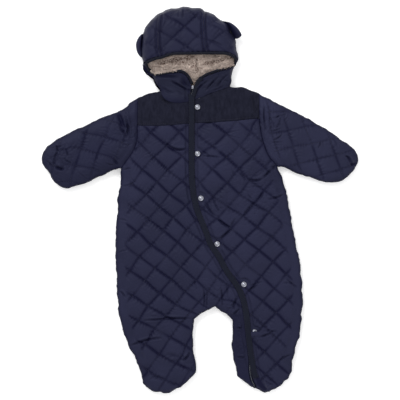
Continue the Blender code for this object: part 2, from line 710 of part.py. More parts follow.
def body_pieces():
    """Back, two fronts and two yokes."""
    back = join(smooth_path(BACK_NECK), EDGE["shoulder_left"][::-1],
                SEAM_CURVES["armhole_left"], EDGE["side_left"][::-1], EDGE["toe_left"][::-1],
                EDGE["inner_left"][::-1], EDGE["inner_right"][::-1], EDGE["side_right"][::-1],
                SEAM_CURVES["armhole_right"][::-1], EDGE["shoulder_right"][::-1])[:-1][::-1]
    plain_wall("back", back)

    zip_right = zip_side(-1, YOKE_RIGHT[-1][1], ZIP_END[1] + 1.2)
    front_right = join(SEAM_CURVES["yoke_right"][::-1], ARMPIT_EDGES["right"], EDGE["side_right"],
                       EDGE["inner_right"], EDGE["inner_left"][:-1], zip_right[::-1])[:-1]
    front_wall("front_right", front_right, "front_right", ("armhole_right", "yoke_right"), SHELL)

    zip_left = zip_side(1, YOKE_LEFT[0][1], ZIP_END[1] - 1.0)
    front_left = join(zip_left, EDGE["toe_left"][1:], EDGE["side_left"],
                      ARMPIT_EDGES["left"][::-1], SEAM_CURVES["yoke_left"][::-1])[:-1]
    front_wall("front_left", front_left, "front_left", ("armhole_left", "yoke_left"), SHELL)

    zip_right = zip_side(-1, NECK_SEAM_RIGHT[-1][1], YOKE_RIGHT[-1][1])
    yoke_right = join(SEAM_CURVES["yoke_right"], zip_right[::-1], SEAM_CURVES["neck_right"][::-1],
                      EDGE["shoulder_right"], SHOULDER_EDGES["right"])[:-1]
    front_wall("yoke_right", yoke_right, "plain", ("armhole_right", "yoke_right", "neck_right"), PLAIN)

    zip_left = zip_side(1, NECK_SEAM_LEFT[0][1], YOKE_LEFT[0][1])
    yoke_left = join(zip_left, SEAM_CURVES["yoke_left"], SHOULDER_EDGES["left"][::-1],
                     EDGE["shoulder_left"], SEAM_CURVES["neck_left"][::-1])[:-1]
    front_wall("yoke_left", yoke_left, "plain", ("armhole_left", "yoke_left", "neck_left"), PLAIN)


HOLLOW_INSET = 13.0       # the hollow of a sleeve stays this far inside its outline
HOLLOW_OUT = 8.0          # and runs this far out at the armhole


def sleeve(name, loop, armhole, region):
    """A flattened padded tube, closed at the mitten and open at the armhole."""
    seams = [SEAM_CURVES[armhole]]
    groups = [FOLD_POINTS, ring_points(loop, FRONT_RINGS), stitch_points(loop, region)]
    under = [ring_points(loop, BACK_RINGS), grid_points(loop, PLAIN_GRID)]
    tube = wall(name, loop, outer_top(region, seams), underside, groups, under, SHELL, region)

    # the hollow: a thin lens that stays inside the wall and runs out at the armhole
    normal = inward(loop)
    at_seam = distance(loop, seams[0], closed=False) < 0.5
    shift = np.where(at_seam, -HOLLOW_OUT, HOLLOW_INSET)
    hollow = loop + normal * shift[:, None]
    hollow = hollow[at_seam | (distance(hollow, OUTLINE) > HOLLOW_INSET - 1.0)]
    flat = np.zeros(len(hollow))
    verts = np.vstack([np.column_stack([hollow, flat + BACK_INNER]),
                       np.column_stack([hollow, flat + FRONT_INNER])])
    count = len(hollow)
    faces = [tuple(range(count - 1, -1, -1)), tuple(range(count, 2 * count))]
    faces += [(i, (i + 1) % count, count + (i + 1) % count, count + i) for i in range(count)]
    cutter = add_object(name + "_hollow", verts, faces, SHELL)
    cutter.hide_render = True
    cutter.display_type = "WIRE"
    cut = tube.modifiers.new("hollow", "BOOLEAN")
    cut.operation = "DIFFERENCE"
    cut.object = cutter


def sleeve_pieces():
    right = join(EDGE["sleeve_right"], SEAM_CURVES["armhole_right"][::-1])[:-1]
    sleeve("sleeve_right", right, "armhole_right", "sleeve_right")
    left = join(EDGE["sleeve_left"], SEAM_CURVES["armhole_left"])[:-1]
    sleeve("sleeve_left", left, "armhole_left", "sleeve_left")


# --- hood ------------------------------------------------------------------------------------
BINDING_WIDTH = 4.5
LINING_INSET = 6.0
LINING_TOP = 24.0          # crest of the sherpa in the face opening
LINING_HEM = ((-62.0, 193.0), (-40.0, 186.0), (-18.0, 185.0), (2.0, 190.5), (15.0, 196.5), (30.0, 202.0), (44.0, 206.5))
LINING_CLEAR = 3.4         # between the sherpa and the panels over it
LINING_SEAT = 1.4          # clearance of the binding over the sherpa
LINING_RINGS = (2.5, 6.0, 12.0, 20.0)
BINDING_SINK = 0.5         # the binding's edges lie this much under the panels
SEAT = 0.5                 # clearance under a soft piece that rests on another


def nearest(line, point):
    return int(np.argmin(np.hypot(*(line - np.array(point)).T)))


def left_of(path):
    """Unit normals to the left of an open path."""
    run = np.gradient(path, axis=0)
    normal = np.column_stack([-run[:, 1], run[:, 0]])
    return normal / np.hypot(*normal.T)[:, None]


def lining_top(points):
    """Sherpa: it fills the collapsed hood and lies lower in the face opening."""
    floor = back_inner(points) + SEAT + 0.5 * RIM
    level = np.minimum(LINING_TOP, hood_inner(points) - LINING_CLEAR)
    return np.maximum(floor, level) - fold_depth(points)


def lining_bottom(points):
    """Underside of the sherpa, on the inner face of the back."""
    return back_inner(points) + SEAT


FACE_PATH = smooth_path(FACE_EDGE, 6.5)
FACE_SIDE = left_of(FACE_PATH)                     # points away from the face
SEAM_CURVES["face"] = FACE_PATH


def hood_pieces():
    """Rear run, three panels, collar fronts and sherpa lining."""
    edge = EDGE["hood"]
    back = join(edge, smooth_path(BACK_NECK))[:-1]
    plain_wall("hood_back", back)

    # the panels end a clearance outside the binding of the face opening
    face = FACE_PATH + FACE_SIDE * (0.5 * BINDING_WIDTH + 2 * HALF_GAP)
    corner_right = nearest(FACE_PATH, FACE_EDGE[FACE_RIGHT_CORNER])
    corner_left = nearest(FACE_PATH, FACE_EDGE[FACE_LEFT_CORNER])
    clear = (distance(face, OUTLINE) > 4.0) & inside(face, OUTLINE)
    number = np.arange(len(face))
    lower_right = face[clear & (number < corner_right)]
    upper = face[clear & (number > corner_right) & (number < corner_left)]
    lower_left = face[clear & (number > corner_left)]

    seam_right = SEAM_CURVES["hood_right"].copy()
    seam_left = SEAM_CURVES["hood_left"].copy()
    top_right, top_left = nearest(edge, seam_right[0]), nearest(edge, seam_left[0])
    low_right, low_left = nearest(upper, seam_right[-1]), nearest(upper, seam_left[-1])
    seam_right[0], seam_right[-1] = edge[top_right], upper[low_right]
    seam_left[0], seam_left[-1] = edge[top_left], upper[low_left]
    end_right, end_left = nearest(edge, upper[0]), nearest(edge, upper[-1])
    seams = ("hood_right", "hood_left", "face")

    centre = join(edge[top_left:top_right + 1], seam_right, upper[low_right:low_left + 1],
                  seam_left[::-1])[:-1]
    front_wall("hood_centre", centre, "hood", seams, SHELL, hood_inner, HOOD_RINGS)
    right = join(edge[top_right:end_right + 1], upper[:low_right + 1], seam_right[::-1])[:-1]
    front_wall("hood_side_right", right, "hood", seams, SHELL, hood_inner, HOOD_RINGS)
    left = join(edge[end_left:top_left + 1], seam_left, upper[low_left:])
    front_wall("hood_side_left", left, "hood", seams, SHELL, hood_inner, HOOD_RINGS)

    start_right, start_left = nearest(edge, lower_right[-1]), nearest(edge, lower_left[0])
    zip_right = zip_side(-1, ZIP_TOP_Y, NECK_SEAM_RIGHT[-1][1])
    collar = join(edge[start_right:], SEAM_CURVES["neck_right"], zip_right[::-1], lower_right)
    front_wall("collar_right", collar, "plain", ("neck_right", "face"), SHELL, hood_inner, HOOD_RINGS)
    zip_left = zip_side(1, ZIP_TOP_Y, NECK_SEAM_LEFT[0][1])
    collar = join(zip_left, SEAM_CURVES["neck_left"], edge[:start_left + 1], lower_left)
    front_wall("collar_left", collar, "plain", ("neck_left", "face"), SHELL, hood_inner, HOOD_RINGS)

    loop = edge + inward(join(edge, smooth_path(BACK_NECK))[:-1])[:len(edge)] * LINING_INSET
    clear = distance(loop, SEAM_CURVES["neck_left"], closed=False) > LINING_INSET
    loop = loop[clear & (loop[:, 1] > NECK_RIGHT[1] + 2.0)]
    loop = join(loop, smooth_path(LINING_HEM, 12.0))
    groups = [FOLD_POINTS, ring_points(loop, LINING_RINGS), grid_points(loop, PANEL_GRID)]
    wall("hood_lining", loop, lining_top, lining_bottom, groups, [grid_points(loop, PLAIN_GRID)], SHERPA)


CROWN = 0.5                # a band's middle stands this much over its edges


def strip(name, path, sides, bottoms, tops, skin):
    """A band along a path: five points a section, with a low crown, and flat ends.

    sides are the unit sideways vectors with the half width; bottoms and tops give
    heights at the band's two edges and its middle.
    """
    sections = []
    for offset, heights in ((1.0, bottoms), (1.0, tops), (0.0, tops), (-1.0, tops), (-1.0, bottoms)):
        plan = path + sides * offset
        lift = CROWN if offset == 0.0 else 0.0
        sections.append(np.column_stack([plan, heights(plan) + lift]))
    rows, around = len(path), len(sections)
    verts = np.stack(sections, axis=1).reshape(-1, 3)
    faces = []
    for i in range(rows - 1):
        for j in range(around):
            a, b = i * around + j, i * around + (j + 1) % around
            faces.append((a, b, b + around, a + around))
    faces.append(tuple(reversed(range(around))))
    faces.append(tuple((rows - 1) * around + j for j in range(around)))
    return add_object(name, verts, faces, skin)


def bed(points):
    """Level on which tape and snaps lie."""
    return np.maximum(plain_top(points) - PAD, SEAM_Z + HALF_GAP + RIM)


def zip_top(points):
    """Upper face of the zip, sunk between the fronts."""
    return np.maximum(bed(points) - ZIP_SINK, front_inner(points) + ZIP_THIN)


def trim_pieces():
    """Binding, tape, zip, slider and snaps."""
    strip("hood_binding", FACE_PATH, FACE_SIDE * 0.5 * BINDING_WIDTH,
          lambda p: lining_top(p) + LINING_SEAT, lambda p: plain_top(p) - BINDING_SINK, TAPE)

    levels = levels_down(TAPE_TOP_Y, TAPE_END_Y)
    path = np.column_stack([opening_x(1, levels)[0], levels])
    strip("placket_tape", path, left_of(path) * 0.5 * TAPE_WIDTH,
          lambda p: bed(p) + SEAT, lambda p: bed(p) + SEAT + TAPE_THICK, TAPE)

    levels = levels_down(ZIP_TOP_Y - SEAT, ZIP_END[1] + 3.0)
    path = np.column_stack([opening_x(2, levels)[0], levels])
    strip("zip", path, left_of(path) * 0.5 * ZIP_WIDTH,
          lambda p: np.where(p[:, 1] > NECK_SEAM_RIGHT[-1][1], hood_inner(p), front_inner(p)),
          zip_top, ZIP)


# --- ears ----------------------------------------------------------------------------------------
EAR_GAP = 0.5
EAR_RIM = 0.6              # half of the thickness that an ear keeps at its edge
EAR_RINGS = (1.2, 3.0, 6.0)
EAR_GRID = 8.0
# outer edge of each ear from its upper end
EAR_RIGHT = ((-102.6, 300.0), (-107.4, 297.0), (-113.0, 289.0), (-115.5, 279.0), (-113.5, 267.0),
             (-108.0, 258.5), (-103.5, 256.0))
EAR_LEFT = ((62.5, 290.0), (69.0, 290.5), (74.5, 295.0), (72.0, 302.0), (65.5, 310.5), (55.0, 318.5),
            (44.0, 321.5), (38.0, 322.5))
# name, outer edge, level of the middle at the seam, its rise per millimetre outwards,
# half the thickness, width of the rounding
EARS = (
    ("ear_right", EAR_RIGHT, 12.5, 0.0, 6.5, 7.0),
    ("ear_left", EAR_LEFT, 13.6, 0.7, 10.0, 6.0),
)


def ear(name, outer, middle, rise, half_thick, rounding):
    """A padded ear sewn to the hood along the hood's edge."""
    edge = EDGE["hood"]
    arc = smooth_path(outer, 6.0)
    first, last = sorted((nearest(edge, arc[0]), nearest(edge, arc[-1])))
    out = inward(join(edge, smooth_path(BACK_NECK))[:-1])[first:last + 1] * -EAR_GAP
    base = (edge[first:last + 1] + out)[::-1]
    arc = arc[~inside(arc, OUTLINE)]
    arc = arc[distance(arc, OUTLINE) > EAR_GAP]
    loop = join(arc, base)

    def level(points):
        return middle + rise * distance(points, OUTLINE)

    def above(points):
        return level(points) + EAR_RIM + half_thick * round_over(distance(points, loop), rounding)

    def below(points):
        return level(points) - EAR_RIM - half_thick * round_over(distance(points, loop), rounding)

    rings = [ring_points(loop, EAR_RINGS), grid_points(loop, EAR_GRID)]
    wall(name, loop, above, below, rings, rings, SHELL)


# --- press snaps and slider ------------------------------------------------------------------------
# turned profile of a cap: radius, height
CAP_PROFILE = ((4.9, 0.0), (4.9, 1.5), (4.3, 2.2), (3.5, 1.8), (2.0, 2.6), (0.0, 2.9))
CAP_SIDES = 16
SLIDER = (3.6, 6.2, 3.0)   # width, length, height
SLIDER_BEVEL = 0.8


def snap(number, place):
    """A press snap's metal cap, turned about its own axis."""
    level = bed(np.array([place]))[0] + 2 * HALF_GAP
    mesh = bpy.data.meshes.new("snap")
    shape = bmesh.new()
    ring = [shape.verts.new((radius * MM, 0.0, height * MM)) for radius, height in CAP_PROFILE]
    edges = [shape.edges.new(pair) for pair in zip(ring, ring[1:])]
    bmesh.ops.spin(shape, geom=ring + edges, cent=(0, 0, 0), axis=(0, 0, 1), dvec=(0, 0, 0),
                   angle=2 * math.pi, steps=CAP_SIDES, use_merge=True)
    bmesh.ops.remove_doubles(shape, verts=shape.verts, dist=1e-6)
    rim = [edge for edge in shape.edges if edge.is_boundary]
    bmesh.ops.contextual_create(shape, geom=rim)
    bmesh.ops.recalc_face_normals(shape, faces=shape.faces)
    shape.to_mesh(mesh)
    shape.free()
    mesh.materials.append(METAL)
    cap = bpy.data.objects.new(f"snap_{number}", mesh)
    cap.location = (place[0] * MM, place[1] * MM, level * MM)
    bpy.context.scene.collection.objects.link(cap)


def slider():
    """The zip's slider, closed up to the chin between the collar fronts."""
    width, length, height = SLIDER
    y = ZIP_TOP_Y - 0.5 * length - SEAT
    x, slope = opening_x(2, y)
    level = zip_top(np.array([[x, y + 0.5 * length]]))[0] + SEAT + CROWN
    shape = bmesh.new()
    bmesh.ops.create_cube(shape, size=1.0)
    bmesh.ops.scale(shape, vec=(width * MM, length * MM, height * MM), verts=shape.verts)
    bmesh.ops.bevel(shape, geom=shape.edges[:], offset=SLIDER_BEVEL * MM, segments=1,
                      affect="EDGES")
    mesh = bpy.data.meshes.new("zip_slider")
    shape.to_mesh(mesh)
    shape.free()
    mesh.materials.append(METAL)
    body = bpy.data.objects.new("zip_slider", mesh)
    body.location = (x * MM, y * MM, (level + 0.5 * height) * MM)
    body.rotation_euler = (0.0, 0.0, -math.atan(slope))
    bpy.context.scene.collection.objects.link(body)


body_pieces()
sleeve_pieces()
hood_pieces()
trim_pieces()
for name, *sizes in EARS:
    ear(name, *sizes)
for number, place in enumerate(SNAPS, start=1):
    snap(number, place)
slider()
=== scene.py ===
# %% [markdown]
# # A quilted baby snowsuit, laid flat on its back
#
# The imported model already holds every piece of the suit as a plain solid.  This lesson
# dresses it: each cloth panel becomes a fine surface with its pads, stitches and creases,
# and each finish becomes a node material.  Everything is in metres, in the model's frame:
# x runs to the wearer's left, y towards the hood and z up from the table.

import bpy
import numpy as np
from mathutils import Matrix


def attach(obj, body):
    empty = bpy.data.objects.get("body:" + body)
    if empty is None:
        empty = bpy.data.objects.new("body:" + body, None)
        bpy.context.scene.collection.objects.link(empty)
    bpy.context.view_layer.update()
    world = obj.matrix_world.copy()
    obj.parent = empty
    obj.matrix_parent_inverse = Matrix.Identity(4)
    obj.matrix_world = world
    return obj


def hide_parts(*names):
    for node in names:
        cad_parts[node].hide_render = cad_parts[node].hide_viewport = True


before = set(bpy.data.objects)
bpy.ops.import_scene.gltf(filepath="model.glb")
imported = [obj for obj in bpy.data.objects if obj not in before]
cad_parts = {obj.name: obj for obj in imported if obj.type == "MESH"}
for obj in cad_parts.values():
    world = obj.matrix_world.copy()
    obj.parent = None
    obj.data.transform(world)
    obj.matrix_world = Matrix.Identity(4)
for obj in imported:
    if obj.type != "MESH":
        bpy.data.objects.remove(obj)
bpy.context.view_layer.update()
print("nodes in the model:", len(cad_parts))

# %% [markdown]
# ## The sizes that drive the suit
#
# A pattern cutter works in millimetres, so the tables here do too, and `MM` turns them
# into metres when a mesh is made.  The suit is two padded layers lying on each other: the
# back rests on the table, the side seam runs round at 11 mm, and the front swells above it.
# One dome for the whole front would do as a first guess.  A quarter ellipse along the edge
# is better, because padding is limp in the middle and only rounds over near the seam.

# %% Heights and seam sizes
MM = 0.001
SEAM_Z = 11.0            # level of the side seam
HALF_GAP = 0.16          # half of the clearance between two pieces at a seam
RIM = 1.2                # thickness of cloth at the seam
BODY_TOP = 24.0          # crest of the pads on body, sleeves and legs
HOOD_TOP = 40.0          # crest of the pads on the hood
HOOD_FULL_Y = 260.0      # the hood is at its full height above this level
HOOD_LOW_Y = 188.0       # and as low as the body below this one
FRONT_ROUND = 26.0       # width over which the front rounds down to its edge
BACK_ROUND = 12.0        # the same for the underside
HOOD_ROUND = 30.0        # and for the hood's inner face
HOLLOW_ROUND = 20.0      # width over which the hollow between the walls opens
FRONT_INNER = 13.0       # inner face of the front
BACK_INNER = 9.5         # inner face of the back
HOOD_WALL = 10.5         # padded wall of the hood
PAD = 4.0                # height of a pad over its stitch lines
PLAIN_DROP = 1.6         # plain panels lie this much under the pads' crests
SOFT_EDGE = 12.0         # relief fades out over this width along the edge
SEAM_DIP = 2.5           # groove along a sewn seam
SEAM_DIP_WIDTH = 6.0
FRONT_SEAM_LEVEL = SEAM_Z + HALF_GAP
BACK_SEAM_LEVEL = SEAM_Z - HALF_GAP
print("front crest", BODY_TOP, "mm, hood crest", HOOD_TOP, "mm")

# %% [markdown]
# ## The outline, as a pattern cutter would mark it
#
# Each row gives a level and the two edges there.  The sleeves are marked along their own
# axis, so that one row says how wide the arm is at that distance from the shoulder.

# %% Outline tables
# level, right edge, left edge
HOOD_LEVELS = (
    (338.6, -69.0, 14.2),
    (326.7, -85.0, 34.4),
    (315.9, -93.8, 48.6),
    (305.1, -101.0, 54.9),
    (283.5, -104.6, 63.9),
    (261.9, -104.0, 68.5),
    (251.1, -103.8, 67.7),
    (240.3, -102.8, 62.0),
    (229.5, -90.0, 58.8),
    (218.7, -84.6, 57.2),
    (205.0, -75.0, 55.2),
)
HOOD_CREST = (-22.0, 348.0)
NECK_RIGHT = (-71.0, 196.4)
NECK_LEFT = (55.0, 202.9)
BODY_LEVELS = (
    (35.1, -143.4, 149.2),
    (13.5, -146.6, 156.0),
    (-51.3, -151.4, 167.5),
    (-84.0, -152.6, 174.0),
    (-116.1, -151.6, 180.8),
    (-180.9, -148.6, 185.1),
    (-214.0, -144.4, 182.6),
    (-245.7, -135.2, 179.1),
    (-267.3, -126.2, 172.3),
    (-288.9, -114.6, 166.7),
    (-310.5, -107.2, 164.6),
    (-332.1, -101.0, 147.8),
    (-342.9, -88.0, 129.2),
)
# inner edge of each leg: level, right leg, left leg
INNER_LEG_LEVELS = (
    (-203.2, 6.2, 44.0),
    (-211.6, -6.4, 51.8),
    (-215.0, -10.2, 58.6),
    (-224.0, -11.4, 59.6),
    (-235.0, -12.0, 58.5),
    (-256.0, -12.9, 57.2),
    (-289.0, -8.6, 60.3),
    (-309.0, -6.8, 66.2),
    (-321.0, -18.2, 70.3),
    (-332.0, -29.4, 86.9),
)
CROTCH = (27.0, -192.0)
TOE_RIGHT = (-66.0, -347.8)
TOE_INNER = (-46.5, -344.6)
TOE_LEFT = (117.0, -347.8)
ZIP_END = (100.0, -339.5)
# distance along the arm, width above its axis, width below it
SLEEVE_RIGHT = (
    (-9.5, 64.5, None),
    (-2.4, 59.4, None),
    (5.7, 56.6, None),
    (14.0, 56.6, None),
    (46.0, 56.3, None),
    (51.0, 56.0, 40.2),
    (83.0, 53.0, 41.6),
    (107.0, 51.2, 44.8),
    (130.0, 48.0, 44.2),
    (147.0, 43.9, 43.0),
    (158.0, 41.2, 37.8),
    (167.0, 35.1, 23.6),
    (170.6, 31.0, 9.2),
    (173.6, 26.0, None),
)
SLEEVE_RIGHT_TIP = (175.4, 13.5)
SLEEVE_RIGHT_START = (-113.0, 112.0)
SLEEVE_RIGHT_TURN = 200.0
SLEEVE_LEFT = (
    (0.0, 58.6, None),
    (24.0, 55.7, None),
    (66.0, 51.0, 47.8),
    (97.0, 46.0, 50.2),
    (115.0, 42.4, 48.2),
    (131.0, 38.7, 48.9),
    (147.0, 34.2, 47.3),
    (164.0, 29.3, 39.8),
    (175.0, 25.4, 31.8),
    (184.0, 16.3, 12.0),
)
SLEEVE_LEFT_TIP = (187.4, 4.4)
SLEEVE_LEFT_START = (106.0, 126.0)
SLEEVE_LEFT_TURN = -20.0
# and the side of the axis on which the upper edge lies
SLEEVES = {
    "right": (SLEEVE_RIGHT, SLEEVE_RIGHT_TIP, SLEEVE_RIGHT_START, SLEEVE_RIGHT_TURN, -1),
    "left": (SLEEVE_LEFT, SLEEVE_LEFT_TIP, SLEEVE_LEFT_START, SLEEVE_LEFT_TURN, 1),
}
print("outline rows:", len(HOOD_LEVELS) + len(BODY_LEVELS) + len(SLEEVE_RIGHT) + len(SLEEVE_LEFT))

# %% Seam tables
# each seam from its upper or inner end
SHOULDER_RIGHT = ((-71.0, 196.4), (-92.4, 191.6), (-111.5, 184.2))
SHOULDER_LEFT = ((55.0, 202.9), (67.0, 204.2), (80.0, 201.6), (105.8, 192.0))
ARMHOLE_RIGHT = ((-111.5, 184.2), (-112.0, 158.0), (-112.5, 134.0))
ARMPIT_RIGHT = ((-112.5, 134.0), (-113.5, 107.0), (-121.5, 86.0), (-142.4, 56.4))
ARMHOLE_LEFT = ((105.8, 192.0), (106.0, 168.0), (106.5, 147.0))
ARMPIT_LEFT = ((106.5, 147.0), (109.0, 125.0), (114.0, 104.0), (123.0, 80.0), (140.5, 60.0))
YOKE_RIGHT = ((-112.5, 134.0), (-89.0, 133.5), (-62.0, 134.0), (-17.3, 137.5))
YOKE_LEFT = ((-12.7, 138.0), (28.0, 140.0), (64.0, 142.5), (106.5, 147.0))
NECK_SEAM_RIGHT = ((-71.0, 196.4), (-67.0, 185.0), (-57.0, 177.0), (-39.0, 174.0), (-17.1, 177.0))
NECK_SEAM_LEFT = ((-12.5, 180.0), (4.0, 184.5), (16.0, 190.0), (31.0, 195.5), (45.0, 199.5), (55.0, 202.9))
BACK_NECK = ((-71.0, 196.4), (-40.0, 187.0), (-8.0, 184.0), (24.0, 188.0), (55.0, 202.9))
HOOD_SEAM_RIGHT = ((-71.0, 332.5), (-74.0, 312.0), (-75.0, 287.0), (-74.0, 269.0), (-71.0, 254.5))
HOOD_SEAM_LEFT = ((7.0, 340.0), (6.0, 316.0), (7.0, 294.0), (9.0, 276.0), (12.0, 263.0))
LINING_HEM = ((-62.0, 193.0), (-40.0, 186.0), (-18.0, 185.0), (2.0, 190.5), (15.0, 196.5), (30.0, 202.0),
              (44.0, 206.5))
# the bound edge of the face opening, from the chin up its right side and round
FACE_EDGE = (
    (-14.5, 209.0),
    (-20.0, 221.0),
    (-30.0, 229.5),
    (-42.0, 231.0),
    (-64.0, 227.0),
    (-82.0, 226.0),
    (-90.0, 232.5),
    (-96.0, 244.5),
    (-81.0, 252.0),
    (-68.0, 255.0),
    (-50.0, 261.0),
    (-26.0, 262.0),
    (28.0, 262.5),
    (48.0, 261.5),
    (62.0, 255.0),
    (63.5, 247.0),
    (58.0, 240.0),
    (36.0, 233.5),
    (14.0, 226.0),
    (2.0, 219.0),
    (-7.5, 209.0),
)
FACE_RIGHT_CORNER = (-96.0, 244.5)
FACE_LEFT_CORNER = (63.5, 247.0)
# front opening: level, centre of the tape, centre of the zip
FRONT_OPENING = (
    (212.0, -12.0, -11.0),
    (193.5, -15.5, -14.5),
    (166.5, -14.9, -15.0),
    (53.1, -14.9, -15.0),
    (18.0, -12.6, -13.0),
    (2.7, -10.0, -11.0),
    (-18.9, -4.6, -5.6),
    (-54.9, 9.8, 9.0),
    (-80.0, 19.5, 18.5),
    (-100.0, 33.0, 32.0),
    (-126.9, 47.7, 46.5),
    (-162.9, 71.5, 69.5),
    (-198.9, 82.0, 81.0),
    (-252.9, 88.2, 87.0),
    (-284.0, 92.4, 89.6),
    (-306.0, 96.2, 89.6),
    (-322.0, 101.5, 92.6),
    (-344.0, 110.0, 102.0),
)
TAPE_WIDTH = 10.0
TAPE_THICK = 2.6
TAPE_TOP_Y = 190.0
TAPE_END_Y = -319.0
ZIP_WIDTH = 4.2
ZIP_HALF = 0.5 * ZIP_WIDTH + 2 * HALF_GAP
ZIP_TOP_Y = 206.0
SNAPS = ((-4.5, 166.8), (-4.3, 83.2), (1.7, 3.1), (31.0, -79.0), (78.8, -151.5), (98.0, -237.0))
print("seams marked, snaps:", len(SNAPS))

# %% [markdown]
# ## Curves from the tables
#
# A Catmull-Rom curve passes through every marked point, as a tailor's curve does.  A Bezier
# curve would need handles as well, and a polyline would show its corners on the silhouette.

# %% Curve helpers
FINE_STEP = 1.0          # spacing of the points along a curve
OUTLINE_STEP = 4.0       # and along the loop that distances are measured to
SPAN_PARTS = 24          # a span is worked out at this many places first


def run_length(curve):
    """Sum of the stretches of a curve."""
    return np.hypot(*np.diff(curve, axis=0).T).sum()


def smooth_path(points, step=FINE_STEP):
    """Catmull-Rom curve: each span is a cubic through its two points, with a slope
    there that is half the run between the neighbours; then cut into equal steps."""
    knots = np.array(points, dtype=float)
    knots = np.vstack([2 * knots[0] - knots[1], knots, 2 * knots[-1] - knots[-2]])
    a, b, c, d = knots[:-3, None], knots[1:-2, None], knots[2:-1, None], knots[3:, None]
    t = np.linspace(0.0, 1.0, SPAN_PARTS, endpoint=False)[None, :, None]
    spans = 0.5 * (2 * b + (c - a) * t + (2 * a - 5 * b + 4 * c - d) * t ** 2
                   + (3 * b - a - 3 * c + d) * t ** 3)
    dense = np.vstack([spans.reshape(-1, 2), knots[-2]])
    return stops(dense, max(2, int(round(run_length(dense) / step)) + 1))


def stops(curve, count):
    """That many points, spread evenly along a curve; one that has them is kept as it is."""
    if len(curve) == count:
        return curve.copy()
    along = np.concatenate([[0.0], np.cumsum(np.sqrt((np.diff(curve, axis=0) ** 2).sum(axis=1)))])
    places = np.linspace(0.0, along[-1], count)
    return np.column_stack([np.interp(places, along, column) for column in curve.T])


def join(*curves):
    """One run of points from several."""
    return np.vstack([np.asarray(curve, dtype=float) for curve in curves])


def nearest(curve, point):
    """Number of the curve's point that is nearest to a place."""
    return int(np.argmin(np.hypot(*(curve - np.array(point)).T)))


def between(curve, start, end):
    """The stretch of a curve from the place nearest one point to that nearest another."""
    first, last = nearest(curve, start), nearest(curve, end)
    return curve[first:last + 1] if first <= last else curve[last:first + 1][::-1]


def heading_of(curve):
    """Unit vectors along a curve, one at each of its points."""
    run = np.gradient(curve, axis=0)
    return run / np.hypot(*run.T)[:, None]


def leftward(curve):
    """Unit vectors at right angles to a curve, to the left of its run."""
    ahead = heading_of(curve)
    return np.column_stack([-ahead[:, 1], ahead[:, 0]])


def side_by(curve, offset):
    """A row beside a curve, offset to the left of its run."""
    return curve + offset * leftward(curve)


def at_angle(start, turn, along, across):
    """The plan point that lies along and across an axis turned from x."""
    c, s = np.cos(np.radians(turn)), np.sin(np.radians(turn))
    return (start[0] + along * c - across * s, start[1] + along * s + across * c)


def sleeve_edge(rows, tip, start, turn, side):
    """Marked points from the shoulder over the mitten's tip to the armpit; side is the
    side of the axis on which the upper edge lies."""
    upper = [at_angle(start, turn, along, side * above) for along, above, below in rows]
    lower = [at_angle(start, turn, along, -side * below) for along, above, below in rows if below]
    return upper + [at_angle(start, turn, tip[0], side * tip[1])] + lower[::-1]


# %% The outline of the whole suit
RIGHT, LEFT = 1, 2       # columns of the outline tables


def side_points(rows, column):
    """Marked points of one side of a table whose rows start with their level."""
    return [(row[column], row[0]) for row in rows]


def outline_edges(step):
    """Its stretches, anticlockwise from the left side of the neck."""
    hood = [NECK_LEFT, *side_points(HOOD_LEVELS[::-1], LEFT), HOOD_CREST,
            *side_points(HOOD_LEVELS, RIGHT), NECK_RIGHT]
    marks = {
        "hood": hood,
        "shoulder_right": SHOULDER_RIGHT,
        "sleeve_right": [SHOULDER_RIGHT[-1], *sleeve_edge(*SLEEVES["right"]), ARMPIT_RIGHT[-1]],
        "side_right": [ARMPIT_RIGHT[-1], *side_points(BODY_LEVELS, RIGHT), TOE_RIGHT],
        "inner_right": [TOE_RIGHT, TOE_INNER, *side_points(INNER_LEG_LEVELS[::-1], RIGHT), CROTCH],
        "inner_left": [CROTCH, *side_points(INNER_LEG_LEVELS, LEFT), ZIP_END],
        "toe_left": [ZIP_END, TOE_LEFT],
        "side_left": [TOE_LEFT, *side_points(BODY_LEVELS[::-1], LEFT), ARMPIT_LEFT[-1]],
        "sleeve_left": [ARMPIT_LEFT[-1], *sleeve_edge(*SLEEVES["left"])[::-1], SHOULDER_LEFT[-1]],
        "shoulder_left": SHOULDER_LEFT[::-1],
    }
    return {name: smooth_path(points, step) for name, points in marks.items()}


EDGE = outline_edges(FINE_STEP)
OUTLINE = join(*[curve[:-1] for curve in outline_edges(OUTLINE_STEP).values()])
SEAM = {name: smooth_path(points) for name, points in (
    ("armhole_right", ARMHOLE_RIGHT),
    ("armhole_left", ARMHOLE_LEFT),
    ("armpit_right", ARMPIT_RIGHT),
    ("armpit_left", ARMPIT_LEFT),
    ("yoke_right", YOKE_RIGHT),
    ("yoke_left", YOKE_LEFT),
    ("neck_right", NECK_SEAM_RIGHT),
    ("neck_left", NECK_SEAM_LEFT),
    ("back_neck", BACK_NECK),
    ("hood_right", HOOD_SEAM_RIGHT),
    ("hood_left", HOOD_SEAM_LEFT),
    ("face", FACE_EDGE),
)}
SIDES = ("right", "left")
ARMHOLE = {side: join(SEAM["armhole_" + side], SEAM["armpit_" + side]) for side in SIDES}
span = OUTLINE.max(axis=0) - OUTLINE.min(axis=0)
print("outline", len(OUTLINE), "points,", np.round(span, 1), "mm")

# %% [markdown]
# ## How far is a point from the edge?
#
# Most of the suit's relief depends on a distance: to the outline, to a seam, to the tape.
# Blender has a search tree for this, but it takes one point at a time.  Whole arrays of
# points against all the short stretches of a line are just as quick, in slices that fit in
# memory.

# %% Distances
SLICE = 6000             # points measured at once


